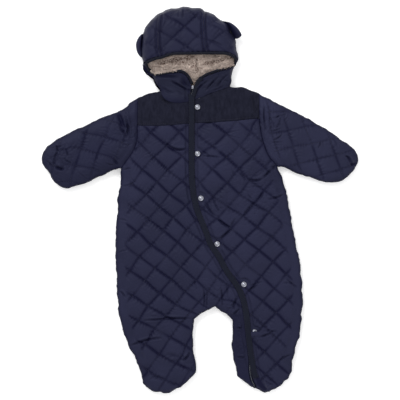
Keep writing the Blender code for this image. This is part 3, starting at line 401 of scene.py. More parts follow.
def distance(points, line, closed=False):
    """From each point to the nearest place on a line of points: the foot of the
    perpendicular on each stretch, kept within its ends, and then the least of them."""
    a = line if closed else line[:-1]
    b = np.roll(line, -1, axis=0) if closed else line[1:]
    run = b - a
    length2 = np.maximum((run ** 2).sum(axis=1), 1e-9)
    found = np.empty(len(points))
    for start in range(0, len(points), SLICE):
        part = points[start:start + SLICE]
        dx = part[:, 0][:, None] - a[:, 0]
        dy = part[:, 1][:, None] - a[:, 1]
        t = np.clip((dx * run[:, 0] + dy * run[:, 1]) / length2, 0.0, 1.0)
        gap2 = (dx - t * run[:, 0]) ** 2 + (dy - t * run[:, 1]) ** 2
        found[start:start + SLICE] = np.sqrt(gap2.min(axis=1))
    return found


def inside(points, loop):
    """True within a closed loop: a line from the point to the left crosses it an odd
    number of times."""
    x1, y1 = loop.T
    x2, y2 = np.roll(loop, -1, axis=0).T
    rise = np.where(np.abs(y2 - y1) < 1e-12, 1e-12, y2 - y1)
    found = np.empty(len(points), dtype=bool)
    for start in range(0, len(points), SLICE):
        x, y = points[start:start + SLICE, 0][:, None], points[start:start + SLICE, 1][:, None]
        crossed = ((y1 > y) != (y2 > y)) & (x < (x2 - x1) * (y - y1) / rise + x1)
        found[start:start + SLICE] = crossed.sum(axis=1) % 2 == 1
    return found


def edge_distance(points):
    """How far inside the suit's outline each point lies, 0 on it or outside."""
    return np.where(inside(points, OUTLINE), distance(points, OUTLINE, closed=True), 0.0)


def close_to(points, line, reach):
    """1 on a line, falling off as exp(-(distance / reach)^2)."""
    return np.exp(-(distance(points, line) / reach) ** 2)


def smoothstep(t):
    """0 below 0, 1 above 1, and 3 t^2 - 2 t^3 between."""
    t = np.clip(t, 0.0, 1.0)
    return t * t * (3 - 2 * t)


def round_over(depth, width):
    """Quarter ellipse from 0 at the edge to 1 at the given width."""
    t = np.clip(depth / width, 0.0, 1.0)
    return np.sqrt(1.0 - (1.0 - t) ** 2)


print("middle of the chest is", np.round(edge_distance(np.array([[-60.0, 60.0]])), 1), "mm from the edge")

# %% [markdown]
# ## Unevenness with a fixed seed
#
# Sewn padding is never even.  A sum of a few sine waves in scattered directions gives a
# smooth random height over the whole suit, is the same on each run, and needs no table.

# %% Ripples
WAVES = 7


def ripple(points, wavelength, seed):
    """Sum of sine waves whose directions and phases come from the seed, about -1 to 1."""
    draw = np.random.default_rng(seed)
    turn = draw.uniform(0.0, 2 * np.pi, WAVES)
    phase = draw.uniform(0.0, 2 * np.pi, WAVES)
    stretch = draw.uniform(0.75, 1.35, WAVES)
    total = np.zeros(len(points))
    for angle, start, size in zip(turn, phase, stretch):
        along = points[:, 0] * np.cos(angle) + points[:, 1] * np.sin(angle)
        total += np.sin(2 * np.pi * along / (wavelength * size) + start)
    return total / np.sqrt(0.5 * WAVES) / 1.6


print("ripple at the origin:", np.round(ripple(np.zeros((1, 2)), 30.0, 1), 3))

# %% [markdown]
# ## The domes: front, hood and back
#
# These are the same formulas as the solids have, so the dressed suit keeps their form.

# %% Dome heights
def crest(points):
    """Height of the pads' crests, rising from the body to the hood."""
    rise = smoothstep((points[:, 1] - HOOD_LOW_Y) / (HOOD_FULL_Y - HOOD_LOW_Y))
    return BODY_TOP + (HOOD_TOP - BODY_TOP) * rise


def plain_top(points, depth=None):
    """Front without quilting: from the rim at the seam up a quarter ellipse."""
    depth = edge_distance(points) if depth is None else depth
    base = FRONT_SEAM_LEVEL + RIM
    return base + (crest(points) - base) * round_over(depth, FRONT_ROUND)


def hood_inner(points):
    """Inner face of the hood, a padded wall under its outer face."""
    base = FRONT_SEAM_LEVEL
    level = crest(points) - HOOD_WALL
    return base + (level - base) * round_over(edge_distance(points), HOOD_ROUND)


def back_inner(points):
    """Inner face of the back, level but for its rise to the seam."""
    base = BACK_SEAM_LEVEL
    return base + (BACK_INNER - base) * smoothstep(edge_distance(points) / HOLLOW_ROUND)


def front_inner(points):
    """Inner face of the front, level but for its fall to the seam."""
    base = FRONT_SEAM_LEVEL
    return base + (FRONT_INNER - base) * smoothstep(edge_distance(points) / HOLLOW_ROUND)


def underside(points):
    """Flat on the table, and a quarter ellipse up to the side seam."""
    base = BACK_SEAM_LEVEL
    return base * (1.0 - round_over(edge_distance(points), BACK_ROUND))


# %% [markdown]
# ## Quilting
#
# Two families of stitch lines cross over each panel, and the padding stands up in soft
# diamonds between them.  A checker of displaced faces would look like tiles.  Here each
# family numbers its lines, so the distance to the nearest line is a sine of that number,
# and the product of both families is 0 on every stitch line and 1 in the middle of a pad.
# A power below 1 makes the valley sharp at the thread and the pad broad, as wadding is.

# %% Quilt lines
# x0: where the levels are read; level: of line 0; step: down to the next line;
# slope: of line 0, falling (first family) or rising (second) to the left side;
# turn: change of slope from each line to the next
QUILTS = {
    "front_right": ((-126.9, 116.1, 40.5, 0.92, -0.048), (-71.1, -9.0, 52.7, 1.06, 0.06)),
    "front_left": ((81.9, 88.2, 40.9, 0.81, 0.005), (108.9, 8.1, 47.9, 1.08, 0.0)),
    "sleeve_right": ((-197.1, 120.0, 32.0, 0.31, 0.0), (-207.0, 90.0, 95.0, 2.9, 0.0)),
    "sleeve_left": ((180.9, 96.0, 95.0, 2.85, 0.0), (180.9, 130.5, 33.5, 0.17, 0.06)),
    "hood": ((-27.9, 309.6, 34.2, 0.68, 0.0), (-27.9, 308.7, 38.0, 0.88, 0.0)),
}
# how hard the thread pulls: sleeves and hood are quilted more loosely
QUILT_PULL = {"front_right": 0.86, "front_left": 0.84, "sleeve_right": 0.5, "sleeve_left": 0.46,
              "hood": 0.54}
# and how much of a hard pull reaches its cloth
HARD_SHARE = {"front_right": 1.0, "front_left": 1.0, "sleeve_right": 0.8, "sleeve_left": 0.6,
              "hood": 0.9}
PAD_POWER = 0.5          # below 1: a broad pad with a sharp valley
WANDER = 0.015           # stitch lines wander by this share of their spacing
WANDER_WAVE = 62.0
PUCKER_WAVE = 7.0        # length of the little gathers along a stitch line
PUCKER_HEIGHT = 0.95
# painted shade in the gathers' troughs
PUCKER_SHADE = 0.3
PUCKER_REACH = 6.0       # the gathers fade over this distance from the thread
THREAD_CLEAR = 1.2       # the gathers start this far from the thread
THREAD_WIDTH = 2.1       # half width of the painted shade along a row of stitches
VALLEY_WIDTH = 6.0       # half width of the shade on both sides of it
VALLEY_SHADE = 0.3
print("quilted regions:", *QUILTS)

# %% [markdown]
# ### Where the lines really cross
#
# The needle was led by hand, so lines cross off their even places.  Drawing every line would
# take long lists; marking where two lines cross is shorter, and the cloth between the marks
# is shifted smoothly.

# %% Crossings
# number of the falling line, number of the rising line, x, y
CROSSINGS = {
    "front_right": (
        (-1, -3, -88, 121), (-2, -2, -36.5, 121.5), (-1, -2, -60, 97.5), (0, -3, -106, 99.5),
        (0, -2, -83, 76.5), (-1, -1, -32, 79.5), (0, -1, -58, 54), (0, 0, -31.5, 34), (1, -2, -102.5, 53.5),
        (1, -1, -77.5, 32), (2, -2, -122.5, 29), (2, -1, -96, 9.5), (1, 0, -55, 11), (2, 0, -72.5, -12),
        (1, 1, -25, -10.5), (3, -1, -121, -14.5), (3, 0, -92.5, -34.5), (2, 1, -48.5, -32),
        (1, 2, -6.5, -36.5), (4, 0, -112, -57), (3, 1, -65.5, -55), (2, 2, -24, -53), (2, 3, 6, -76),
        (4, 1, -88, -81.5), (3, 2, -40, -75.5), (5, 1, -109, -101.5), (4, 2, -60, -100.5),
        (3, 3, -15.5, -100), (3, 4, 11, -119.5), (3, 5, 31, -139), (5, 2, -80.5, -122.5),
        (4, 3, -35, -122), (6, 1, -125.5, -127.5), (6, 2, -99.5, -144.5), (5, 3, -51, -142.5),
        (4, 4, -7, -144.5), (4, 5, 14, -164), (5, 4, -27, -165), (6, 4, -44, -189), (6, 3, -73, -166.5),
        (7, 2, -121, -172.5), (7, 3, -93.5, -191), (7, 4, -59.5, -208.5), (8, 3, -111, -217),
        (8, 4, -81.5, -230.5), (7, 5, -35, -221.5), (8, 5, -53, -246.5), (9, 4, -98.5, -259.5),
        (9, 5, -73.5, -277.5), (9, 6, -43, -294), (10, 6, -62.5, -323),
    ),
    "front_left": (
        (0, -4, 47, 118.5), (0, -3, 71.5, 97.5), (0, -2, 93, 78), (1, -3, 48, 76), (1, -2, 70.5, 55.5),
        (1, -1, 89, 36), (1, 0, 114.5, 17.5), (2, -3, 22.5, 55.5), (2, -2, 49, 30), (2, -1, 70, 10.5),
        (2, 0, 98, -8.5), (2, 1, 122.5, -21), (3, -2, 25.5, 5.5), (3, -1, 50, -12.5), (3, 0, 78.5, -28.5),
        (3, 1, 102.5, -48.5), (3, 2, 130, -66.5), (3, 3, 153, -88), (4, 0, 56, -51.5), (4, 1, 79, -71),
        (4, 2, 106, -90), (4, 3, 131, -111.5), (4, 4, 154, -133), (5, 1, 58, -93), (5, 2, 82, -115.5),
        (5, 3, 111, -137), (5, 4, 133.5, -159), (5, 5, 159, -180), (6, 3, 88, -163), (6, 4, 112.5, -181.5),
        (6, 5, 137, -202), (6, 6, 159, -226), (7, 4, 91, -206.5), (7, 5, 114.5, -226),
        (7, 6, 137.5, -248.5), (8, 6, 115.5, -272.5), (8, 7, 137, -294), (9, 7, 118, -314),
    ),
    "sleeve_right": (
        (0, 0, -205, 119.5), (0, 1, -170, 113), (1, -1, -256, 92), (1, 0, -213, 92), (1, 1, -184, 84),
        (2, -1, -263, 62), (2, 0, -224, 62), (2, 1, -193, 56),
    ),
    "sleeve_left": (
        (0, 0, 158, 124), (0, 1, 167, 96), (0, 2, 176, 65), (-1, 0, 188, 131), (-1, 1, 200, 101),
        (-1, 2, 209, 73), (-1, 3, 219, 46), (-2, 1, 233, 109), (-2, 2, 243, 80), (-2, 3, 252, 55),
    ),
    "hood": (
        (0, 0, -27, 309.5), (1, 0, -50, 290), (0, 1, -6, 290.5), (1, 1, -24, 275), (0, -1, -56, 328),
        (-1, 0, -7, 329), (0, 2, 21, 283), (1, -1, -70, 298),
    ),
}
CROSSING_REACH = 19.0    # a crossing's shift is felt this far round it
CROSSING_FLOOR = 0.03


def family_line(family, number, falls):
    """Slope of one line of a family, and its level at x = 0."""
    x0, level, step, slope, turn = family
    tilt = -(slope + turn * number) if falls else slope + turn * number
    return tilt, level - step * number - tilt * x0


def crossing_shifts(region):
    """Marked places of a region's crossings, and how far each lies off its even place,
    which is where the two straight lines meet."""
    falling, rising = QUILTS[region]
    places = np.array([row[2:] for row in CROSSINGS[region]], dtype=float)
    even = []
    for a, b, *_ in CROSSINGS[region]:
        slope_a, level_a = family_line(falling, a, True)
        slope_b, level_b = family_line(rising, b, False)
        across = (level_b - level_a) / (slope_a - slope_b)
        even.append((across, level_a + slope_a * across))
    return places, places - np.array(even)


SHIFTS = {region: crossing_shifts(region) for region in CROSSINGS}
print("crossings:", {region: len(rows) for region, rows in CROSSINGS.items()})


def row_shift(points, region):
    """Shift of the quilt lines: the mean of the crossings' shifts, each weighed with
    exp(-(distance / reach)^2), which fades to nothing far away from all of them."""
    places, shifts = SHIFTS[region]
    found = np.empty((len(points), 2))
    for start in range(0, len(points), SLICE):
        part = points[start:start + SLICE]
        off2 = (part[:, :1] - places[:, 0]) ** 2 + (part[:, 1:] - places[:, 1]) ** 2
        weight = np.exp(-off2 / CROSSING_REACH ** 2)
        spread = weight.sum(axis=1, keepdims=True) + CROSSING_FLOOR
        found[start:start + SLICE] = (weight @ shifts) / spread
    return found


# %% Pads and gathers
def line_number(points, family, falls):
    """Where each point lies in a family of lines: whole numbers are stitch lines."""
    x0, level, step, slope, turn = family
    across = points[:, 0] - x0
    if falls:
        number = (level - points[:, 1] - slope * across) / (step + turn * across)
    else:
        number = (level - points[:, 1] + slope * across) / (step - turn * across)
    return number + WANDER * ripple(points, WANDER_WAVE, 11 if falls else 12)


def puckers(points, family, falls, number):
    """Gathers beside a family's lines: a sine along the line, with its phase and its
    strength stirred by ripples, fading away from the line and 0 on the thread."""
    x0, level, step, slope, turn = family
    slope = -slope if falls else slope
    length = np.sqrt(1.0 + slope ** 2)
    along = (points[:, 0] + slope * points[:, 1]) / length
    off = np.abs(number - np.round(number)) * step / length
    phase = 2.2 * ripple(points, 26.0, 21 if falls else 22) + 1.7 * np.round(number)
    strength = np.clip(0.35 + ripple(points, 38.0, 23 if falls else 24), 0.0, 1.0)
    fade = np.exp(-off / PUCKER_REACH) * np.clip(off / THREAD_CLEAR, 0.0, 1.0)
    return strength * fade * np.sin(2 * np.pi * along / PUCKER_WAVE + phase)


def painted_thread_shade(number, family, pull):
    """Painted shade along a family's threads: 1 on a thread, with a softer valley beside it, times how hard
    it pulls.
    """
    x0, level, step, slope, turn = family
    off = np.abs(number - np.round(number)) * step / np.sqrt(1.0 + slope ** 2)
    valley = VALLEY_SHADE * np.exp(-(off / VALLEY_WIDTH) ** 2)
    return pull * (np.exp(-(off / THREAD_WIDTH) ** 2) + valley)


# %% [markdown]
# ### Where the thread pulls hard
#
# A row of stitches isn't equally deep everywhere: where the cloth was strained, the line is
# a dark crease, and where it lies loose, the line almost vanishes.  A ripple alone would put
# those places anywhere, so the strongest are listed.

# %% Pulled stretches
# strength, below 0 where the thread is loose, then the points along the stretch
PULLED = (
    (1.0, (-92, 128), (-60, 100)), (1.0, (-43, 128), (-20, 107)), (1.0, (-28, 28), (-15, 15)),
    (1.0, (-25, -12), (-8, -27), (-5, -38)), (1.0, (-127, -50), (-93, -70), (-88, -80)),
    (1.0, (-84, -82), (-64, -96)), (1.0, (-80, -124), (-57, -138)),
    (1.0, (-50, -147), (-42, -156), (-15, -178)),
    (1.0, (-33, -288), (-18, -274)), (0.6, (-60, 100), (-48, 90)), (0.6, (-83, 76), (-58, 54), (-35, 74)),
    (0.6, (-96, 47), (-82, 38)), (0.6, (-77, 30), (-28, -9)), (0.6, (-118, 24), (-86, 0)),
    (0.4, (-92, 13), (-84, 22)), (0.6, (-62, -20), (-50, -31)), (0.6, (-50, -34), (-63, -51)),
    (0.6, (-43, -38), (-27, -51)), (0.5, (-20, -56), (3, -75)), (0.6, (-75, -48), (-40, -75), (-20, -90)),
    (0.5, (-57, -94), (-46, -83)), (0.5, (-16, -102), (-28, -114)), (0.6, (-107, -103), (-86, -118)),
    (0.6, (-122, -130), (-99, -146), (-82, -160)), (0.5, (-87, -132), (-99, -146)),
    (0.6, (-99, -146), (-72, -166), (-48, -185)),
    (0.6, (-73, -170), (-92, -190), (-110, -217), (-124, -238)),
    (0.6, (-120, -172), (-93, -191), (-58, -210), (-50, -217), (-20, -229)),
    (0.6, (-128, -208), (-110, -217), (-82, -231), (-71, -240)),
    (0.5, (-73, -217), (-82, -232), (-92, -250)),
    (0.6, (-71, -240), (-51, -248), (-19, -268)), (0.6, (-98, -260), (-64, -282), (-43, -294), (-30, -300)),
    (1.0, (16, 86), (44, 117)), (1.0, (97, -3), (112, 14)), (0.5, (27, 132), (40, 123)),
    (0.5, (1, 115), (18, 132)), (0.4, (0, 92), (14, 84)), (0.6, (38, 85), (50, 75), (65, 60)),
    (0.6, (74, 57), (88, 71)), (0.6, (30, 47), (48, 31), (68, 11)), (0.6, (30, 15), (40, 27), (48, 31)),
    (0.6, (97, -5), (81, -27)), (0.6, (24, -2), (30, -12), (40, -21)), (0.5, (84, 12), (95, 5)),
    (0.6, (36, -38), (50, -50)), (0.6, (38, -70), (56, -53)), (0.6, (60, -93), (79, -72), (101, -50)),
    (0.5, (103, -42), (113, -33), (122, -28)),
    (0.6, (66, -61), (79, -72), (106, -90), (131, -112), (154, -133)),
    (0.6, (102, -145), (128, -117), (145, -97)), (0.5, (88, -164), (100, -153)),
    (0.6, (114, -226), (137, -202), (159, -179)), (0.6, (90, -165), (112, -181), (137, -203), (165, -232)),
    (0.6, (107, -265), (116, -274), (137, -294), (158, -311)),
    (0.8, (-205, 120), (-207, 105), (-213, 92), (-222, 70), (-226, 48)),
    (0.7, (-177, 100), (-184, 84), (-187, 74)),
    (0.5, (-205, 120), (-190, 118), (-170, 113), (-150, 107)), (0.3, (-180, 85), (-158, 79)),
    (0.3, (-207, 92), (-190, 91)), (0.3, (-222, 62), (-193, 56)),
    (0.7, (152, 143), (158, 124), (166, 101)), (0.7, (168, 92), (172, 80), (178, 57)),
    (1.0, (203, 92), (209, 73), (219, 48)), (0.7, (238, 95), (243, 80), (252, 58)),
    (0.4, (184, 145), (189, 128)), (0.4, (136, 122), (158, 124), (183, 130)),
    (0.5, (187, 66), (209, 73), (232, 79)),
    (0.4, (222, 46), (250, 53), (262, 60)), (0.25, (152, 92), (173, 97)),
    (0.8, (-56, 328), (-27, 309), (-7, 291)), (0.8, (-50, 290), (-27, 309), (-8, 328)),
    (0.4, (-65, 298), (-30, 278)), (0.5, (-8, 289), (-24, 275)),
    (-0.7, (-6, 122), (34, 88)), (-0.6, (-7, 60), (20, 30)), (-0.5, (-128, -10), (-100, -40)),
    (-0.6, (-90, -215), (-60, -250)),
)
PULLED_REACH = 5.0
HARD_PULL = 0.5          # what the strongest stretch adds to the pull
LEAST_PULL = 0.2
LOFT_SPREAD = 0.06       # pads differ in height by this share


def hard_pull(points):
    """Strength of the nearest hard-pulled stretch, fading within its reach and over it."""
    found = np.zeros(len(points))
    for strength, *stretch in PULLED:
        line = np.array(stretch, dtype=float)
        low, high = line.min(axis=0) - 3 * PULLED_REACH, line.max(axis=0) + 3 * PULLED_REACH
        near = ((points > low) & (points < high)).all(axis=1)
        fade = strength * close_to(points[near], line, PULLED_REACH)
        found[near] = np.maximum(found[near], fade) if strength > 0 else found[near] + fade
    return found


def line_pull(points, number, seed):
    """Uneven pull of the thread: one share for each line and a ripple along it."""
    line = np.round(number)
    return np.clip(0.74 + 0.08 * np.sin(2.4 * line + seed) + 0.24 * ripple(points, 48.0, seed), 0.4, 1.0)


def quilt_drop(points, region):
    """Depth under the pads' crests: 0 in the middle of a pad, PAD at the thread, less
    where the thread pulls less, with gathers beside the lines; and painted shade along
    threads and gathers."""
    falling, rising = QUILTS[region]
    moved = points - row_shift(points, region)
    a, b = line_number(moved, falling, True), line_number(moved, rising, False)
    hard = HARD_PULL * HARD_SHARE[region] * hard_pull(points)
    rise_a = np.abs(np.sin(np.pi * a)) ** PAD_POWER
    rise_b = np.abs(np.sin(np.pi * b)) ** PAD_POWER
    pulls = [QUILT_PULL[region] * line_pull(points, a, 31), QUILT_PULL[region] * line_pull(points, b, 32)]
    pull_a, pull_b = (np.clip(pull + hard, LEAST_PULL, 1.0) for pull in pulls)
    pad = (1.0 - pull_a * (1.0 - rise_a)) * (1.0 - pull_b * (1.0 - rise_b))
    loft = 1.0 - LOFT_SPREAD + LOFT_SPREAD * np.sin(12.9 * np.floor(a) + 78.2 * np.floor(b))
    gathers = puckers(moved, falling, True, a) + puckers(moved, rising, False, b)
    marks = np.maximum(painted_thread_shade(a, falling, pull_a), painted_thread_shade(b, rising, pull_b))
    marks = marks + PUCKER_SHADE * np.clip(-gathers, 0.0, 1.0)
    return PAD * (1.0 - pad * loft) - PUCKER_HEIGHT * gathers, marks


crossing, marks = quilt_drop(np.array([[-60.0, 40.0], [-45.0, 30.0]]), "front_right")
print("two depths on the right front:", np.round(crossing, 2), "mm, marks", np.round(marks, 2))

# %% [markdown]
# ## Creases placed one by one
#
# The suit was folded and then spread out by hand, so each crease is where the cloth had
# too much length: at the armpits, beside the snaps, over the crotch and at the ankles.
# Simulated cloth would put them elsewhere.  Each is a slightly bent line with a trough, and
# the cloth that was pushed aside stands up as a lip next to it.

# %% Crease tables
# one end, other end, sideways bow, half width, depth
BODY_CREASES = (
    (-102, -217, -12, -213, 2, 3.0, 3.6),
    (-89, -209, -42, -213, 1, 2.5, 1.8),
    (-127, -264, -68, -248, 4, 3.0, 3.8),
    (-113, -253, -94, -258, 0, 2.5, 1.6),
    (-33, -289, -17, -274, -2, 3.5, 3.8),
    (-89, -320, -60, -325, 3, 5.0, 2.2),
    (-62, -278, -33, -284, 2, 5.0, 1.6),
    (-147, -163, -134, -176, 2, 2.5, 2.6),
    (6, -158, 6, -195, 2, 2.0, 3.2),
    (14, -166, 12, -194, -1, 2.0, 2.6),
    (37, -156, 39, -194, 2, 2.0, 3.2),
    (46, -147, 48, -177, 2, 2.0, 2.0),
    (-14, -140, -6, -163, 2, 2.0, 1.4),
    (71, -174, 60, -197, -3, 3.5, 4.2),
    (58, -208, 73, -195, 1, 2.5, 3.2),
    (64, -231, 80, -231, 1, 2.5, 3.2),
    (66, -282, 84, -282, -1, 2.5, 3.0),
    (80, -258, 82, -274, 1, 2.5, 3.0),
    (98, -246, 132, -235, -3, 3.0, 3.4),
    (112, -235, 140, -237, 1, 2.5, 2.0),
    (154, -138, 176, -158, -2, 2.5, 2.4),
    (148, -150, 166, -150, 1, 3.0, 1.6),
    (143, -289, 166, -278, 2, 3.0, 2.4),
    (100, -296, 105, -320, 1, 2.0, 2.6),
    (103, -316, 121, -343, -4, 8.0, 7.0),
    (114, -321, 132, -332, -2, 2.4, 2.6),
    (-63, 102, -17, 95, -8, 3.2, 4.2),
    (-1, 79, 38, 76, 1, 2.4, 2.8),
    (1, 86, 17, 78, 2, 3.0, 3.0),
    (44, 118, 73, 125, 1, 1.6, 1.2),
    (44, 118, 73, 111, -1, 1.6, 1.0),
    (78, 120, 91, 107, 1, 1.6, 1.2),
    (69, 50, 82, 33, 2, 2.5, 2.6),
    (58, 53, 60, 39, 1, 2.0, 1.6),
    (140, 66, 130, 55, 0, 5.0, 5.0),
    (130, 55, 114, 39, -1, 3.0, 4.4),
    (114, 39, 87, 37, 3, 3.0, 3.8),
    (114, 15, 104, -1, 1, 3.0, 3.2),
    (104, -1, 78, -30, -3, 2.5, 2.8),
    (120, 1, 154, 12, -2, 3.0, 3.0),
    (84, 17, 96, -1, -2, 2.0, 1.6),
    (91, 24, 111, 22, 1, 2.0, 1.6),
    (94, -15, 123, -22, 2, 2.0, 1.6),
    (8, -1, 28, -30, -2, 3.5, 3.8),
    (24, 8, 37, -22, -3, 2.5, 3.0),
    (32, -33, 55, -50, -2, 3.0, 3.6),
    (55, -50, 64, -33, 1, 2.0, 2.6),
    (33, -73, 57, -53, 1, 2.5, 3.0),
    (39, -78, 58, -96, -1, 2.0, 1.8),
    (-1, -80, -6, -91, 0, 1.6, 1.6),
    (48, -129, 53, -154, 2, 2.0, 2.8),
    (86, -165, 104, -152, 1, 2.6, 3.2),
    (89, -156, 112, -147, 1, 2.2, 2.2),
    (-141, 53, -123, 57, 1, 2.5, 2.0),
    (-141, 24, -120, 30, -1, 2.5, 1.6),
    (-148, -34, -131, -38, 1, 2.5, 1.4),
    (-149, -96, -130, -90, 1, 2.5, 1.4),
    (150, -40, 168, -52, 1, 2.5, 1.4),
)
SLEEVE_CREASES = (
    (-151, 161, -137, 121, 3, 7.5, 5.2),
    (-145, 132, -132, 111, 1, 3.0, 2.4),
    (-135, 153, -129, 113, 2, 3.4, 4.4),
    (-156, 73, -147, 60, 1, 3.0, 3.0),
    (-170, 66, -152, 62, -1, 2.5, 1.6),
    (-258, 98, -255, 87, 0, 2.0, 3.2),
    (-256, 86, -262, 64, -2, 2.5, 2.8),
    (-260, 60, -244, 55, -1, 4.0, 4.8),
    (-242, 93, -237, 78, 1, 2.0, 2.6),
    (-244, 75, -231, 66, -1, 2.0, 2.2),
    (-278, 71, -264, 57, 2, 3.0, 2.2),
    (-258, 33, -249, 30, 1, 2.0, 2.0),
    (-219, 50, -201, 33, 1, 2.0, 1.2),
    (143, 156, 134, 145, 2, 2.0, 2.0),
    (147, 143, 136, 129, 2, 2.0, 2.8),
    (125, 149, 129, 136, 1, 2.0, 2.0),
    (127, 123, 145, 129, -1, 2.0, 2.0),
    (132, 107, 148, 118, -1, 2.0, 2.8),
    (116, 172, 118, 125, -2, 2.0, 2.8),
    (124, 160, 124, 134, 1, 1.8, 1.8),
    (131, 146, 152, 153, 1, 1.8, 2.0),
    (146, 149, 137, 130, 1, 2.0, 2.6),
    (131, 142, 133, 128, 0, 1.6, 1.8),
    (129, 103, 150, 104, 0, 2.0, 1.6),
    (130, 136, 122, 120, 1, 1.6, 1.4),
    (159, 152, 150, 141, 1, 1.6, 1.6),
    (263, 80, 273, 62, 1, 3.0, 3.4),
    (270, 62, 283, 67, 0, 4.4, 5.4),
    (212, 93, 217, 105, -1, 2.0, 2.4),
    (258, 80, 271, 73, 1, 2.0, 1.6),
    (237, 113, 248, 94, 1, 3.0, 1.6),
)
HOOD_CREASES = (
    (-30, 343, -30, 325, 0, 3.0, 2.6),
    (-39, 341, -39, 327, 1, 2.5, 1.6),
    (14, 285, 40, 274, 2, 2.0, 2.0),
    (22, 285, 37, 305, 2, 2.0, 1.2),
    (-94, 310, -87, 300, 1, 2.0, 1.4),
    (-52, 213, -17, 193, 1, 2.9, 5.0),
    (-33, 220, -20, 201, -2, 6.5, 3.4),
    (-80, 219, -38, 219, 2, 3.4, 3.4),
    (-73, 203, -46, 191, -1, 3.4, 2.0),
    (-44, 196, -30, 186, 1, 3.0, 1.2),
    (-71, 188, -50, 173, -4, 3.2, 4.2),
    (-9, 192, 15, 214, 2, 2.6, 3.4),
    (10, 195, 35, 221, 2, 2.4, 3.0),
    (30, 202, 52, 226, 2, 2.4, 2.4),
    (1, 206, 9, 217, 1, 2.6, 2.4),
    (24, 196, 44, 206, -1, 2.6, 2.0),
    (40, 216, 56, 208, 1, 2.4, 1.6),
    (89, 194, 100, 147, 3, 3.0, 3.0),
    (60, 192, 68, 181, 1, 3.0, 1.6),
)
CREASES = BODY_CREASES + SLEEVE_CREASES + HOOD_CREASES
print("creases:", len(CREASES))

# %% Crease heights
CREASE_WIDTH = 0.62      # the marked half widths reach to the lips; the trough is narrower
LIP = 0.42               # height of the lip as a share of the depth
LIP_PLACE = 1.9          # its place in half widths beside the trough
CREASE_SHADED = 4.4      # a crease of this depth gets full painted shade
CRUMPLE_WAVE = 23.0      # spacing of the small unplaced creases
CRUMPLE_DEPTH = 1.0
CRUMPLE_SHARP = 8        # power that makes the ridge thin
CRUMPLE_REST = 0.16      # share of crumpling outside the marked places
# centre and radius of the places where the cloth is crumpled most
CRUMPLED = (
    (112, 20, 60), (112, 140, 34), (30, -175, 34), (22, -10, 28), (100, -230, 34), (72, -250, 26),
    (-128, 120, 30), (-250, 75, 30), (-25, -285, 26), (110, -325, 24), (30, 212, 30),
)


def crease_drop(points, rows=CREASES):
    """Trough exp(-(d/w)^2) about a line bent by its bow, with a softer lip on each side,
    all fading to both ends as a sine."""
    total = np.zeros(len(points))
    for x1, y1, x2, y2, bow, half_width, depth in rows:
        run = np.array([x2 - x1, y2 - y1], dtype=float)
        length = np.hypot(*run)
        half_width = CREASE_WIDTH * half_width
        reach = 4.0 * half_width + abs(bow)
        low = np.minimum((x1, y1), (x2, y2)) - reach
        high = np.maximum((x1, y1), (x2, y2)) + reach
        near = ((points > low) & (points < high)).all(axis=1)
        part = points[near] - (x1, y1)
        t = part @ run / length ** 2
        across = (part[:, 1] * run[0] - part[:, 0] * run[1]) / length
        off = (across - bow * 4 * t * (1 - t)) / half_width
        fade = np.sin(np.pi * np.clip(t, 0.0, 1.0)) ** 0.6
        lips = np.exp(-(off - LIP_PLACE) ** 2) + 0.6 * np.exp(-(off + LIP_PLACE) ** 2)
        total[near] += depth * fade * (np.exp(-off ** 2) - LIP * lips)
    return total


def crumple_drop(points):
    """Small creases along the zero lines of a ripple: a high power of (1 - |ripple|) is a
    thin ridge there, turned into a groove, and strong only in the crumpled places."""
    amount = np.full(len(points), CRUMPLE_REST)
    for x, y, radius in CRUMPLED:
        amount += np.exp(-((points[:, 0] - x) ** 2 + (points[:, 1] - y) ** 2) / radius ** 2)
    groove = np.zeros(len(points))
    for seed in (41, 42, 43):
        groove += (1.0 - np.clip(np.abs(ripple(points, CRUMPLE_WAVE, seed)), 0.0, 1.0)) ** CRUMPLE_SHARP
    return CRUMPLE_DEPTH * np.clip(amount, 0.0, 1.0) * (groove - 0.3)


# %% [markdown]
# ## Pressed beds, seams and the plain side bands
#
# The tape and the snaps lie in beds where the padding is pressed flat.  Along each side the
# back panel comes round to the front, so the diamonds stop about 22 mm before the edge.

# %% Front heights
BED_MARGIN = 3.6         # the front is flat this far beyond the tape
BED_RISE = 5.0           # and rises to the pads over this width
SNAP_BED = 8.8           # radius of the flat round a snap
SNAP_FOLD = 1.6          # a fold of the leg lies over the last snap up to this much above its centre
FOLD_RISE = 1.2          # height of that fold over the plain cloth
BAND_WIDTH = 21.0        # plain band along the side seams
BAND_FADE = 7.0
BAND_LOW_Y, BAND_HIGH_Y = -285.0, 50.0
STRIP_WIDTH = 34.0       # plain strip inside the left leg, up to the zip
# painted shade over that strip
STRIP_SHADE = 0.5
SLEEVE_HEAD = 17.0       # plain head of a sleeve next to its armhole
# half width of the painted shade along a seam
SEAM_SHADE_WIDTH = 1.6
EDGE_SHADE = 0.9         # painted shade where the cloth turns down at the outline
EDGE_SHADE_WIDTH = 3.0
EDGE_SOFT = 0.22         # and less so over a wider band
EDGE_SOFT_WIDTH = 9.0
TOPSTITCH = 3.4          # distance of a row of top stitches from its seam


def opening_curve(column):
    """The line of the tape (column 1) or the zip (column 2), from the foot up."""
    return smooth_path(side_points(FRONT_OPENING[::-1], column))


TAPE_CURVE, ZIP_CURVE = opening_curve(1), opening_curve(2)
SIDE_CURVES = [curve[(curve[:, 1] > BAND_LOW_Y) & (curve[:, 1] < BAND_HIGH_Y)][::4]
               for curve in (EDGE["side_right"], EDGE["side_left"])]
LEG_STRIP = between(EDGE["inner_left"], CROTCH, ZIP_END)[::4]


def opening_x(curve, levels):
    """x of an opening line at some levels, and its slope there."""
    reach = 4.0
    x, ahead, behind = (np.interp(levels + step, curve[:, 1], curve[:, 0])
                        for step in (0.0, reach, -reach))
    return x, (ahead - behind) / (2 * reach)


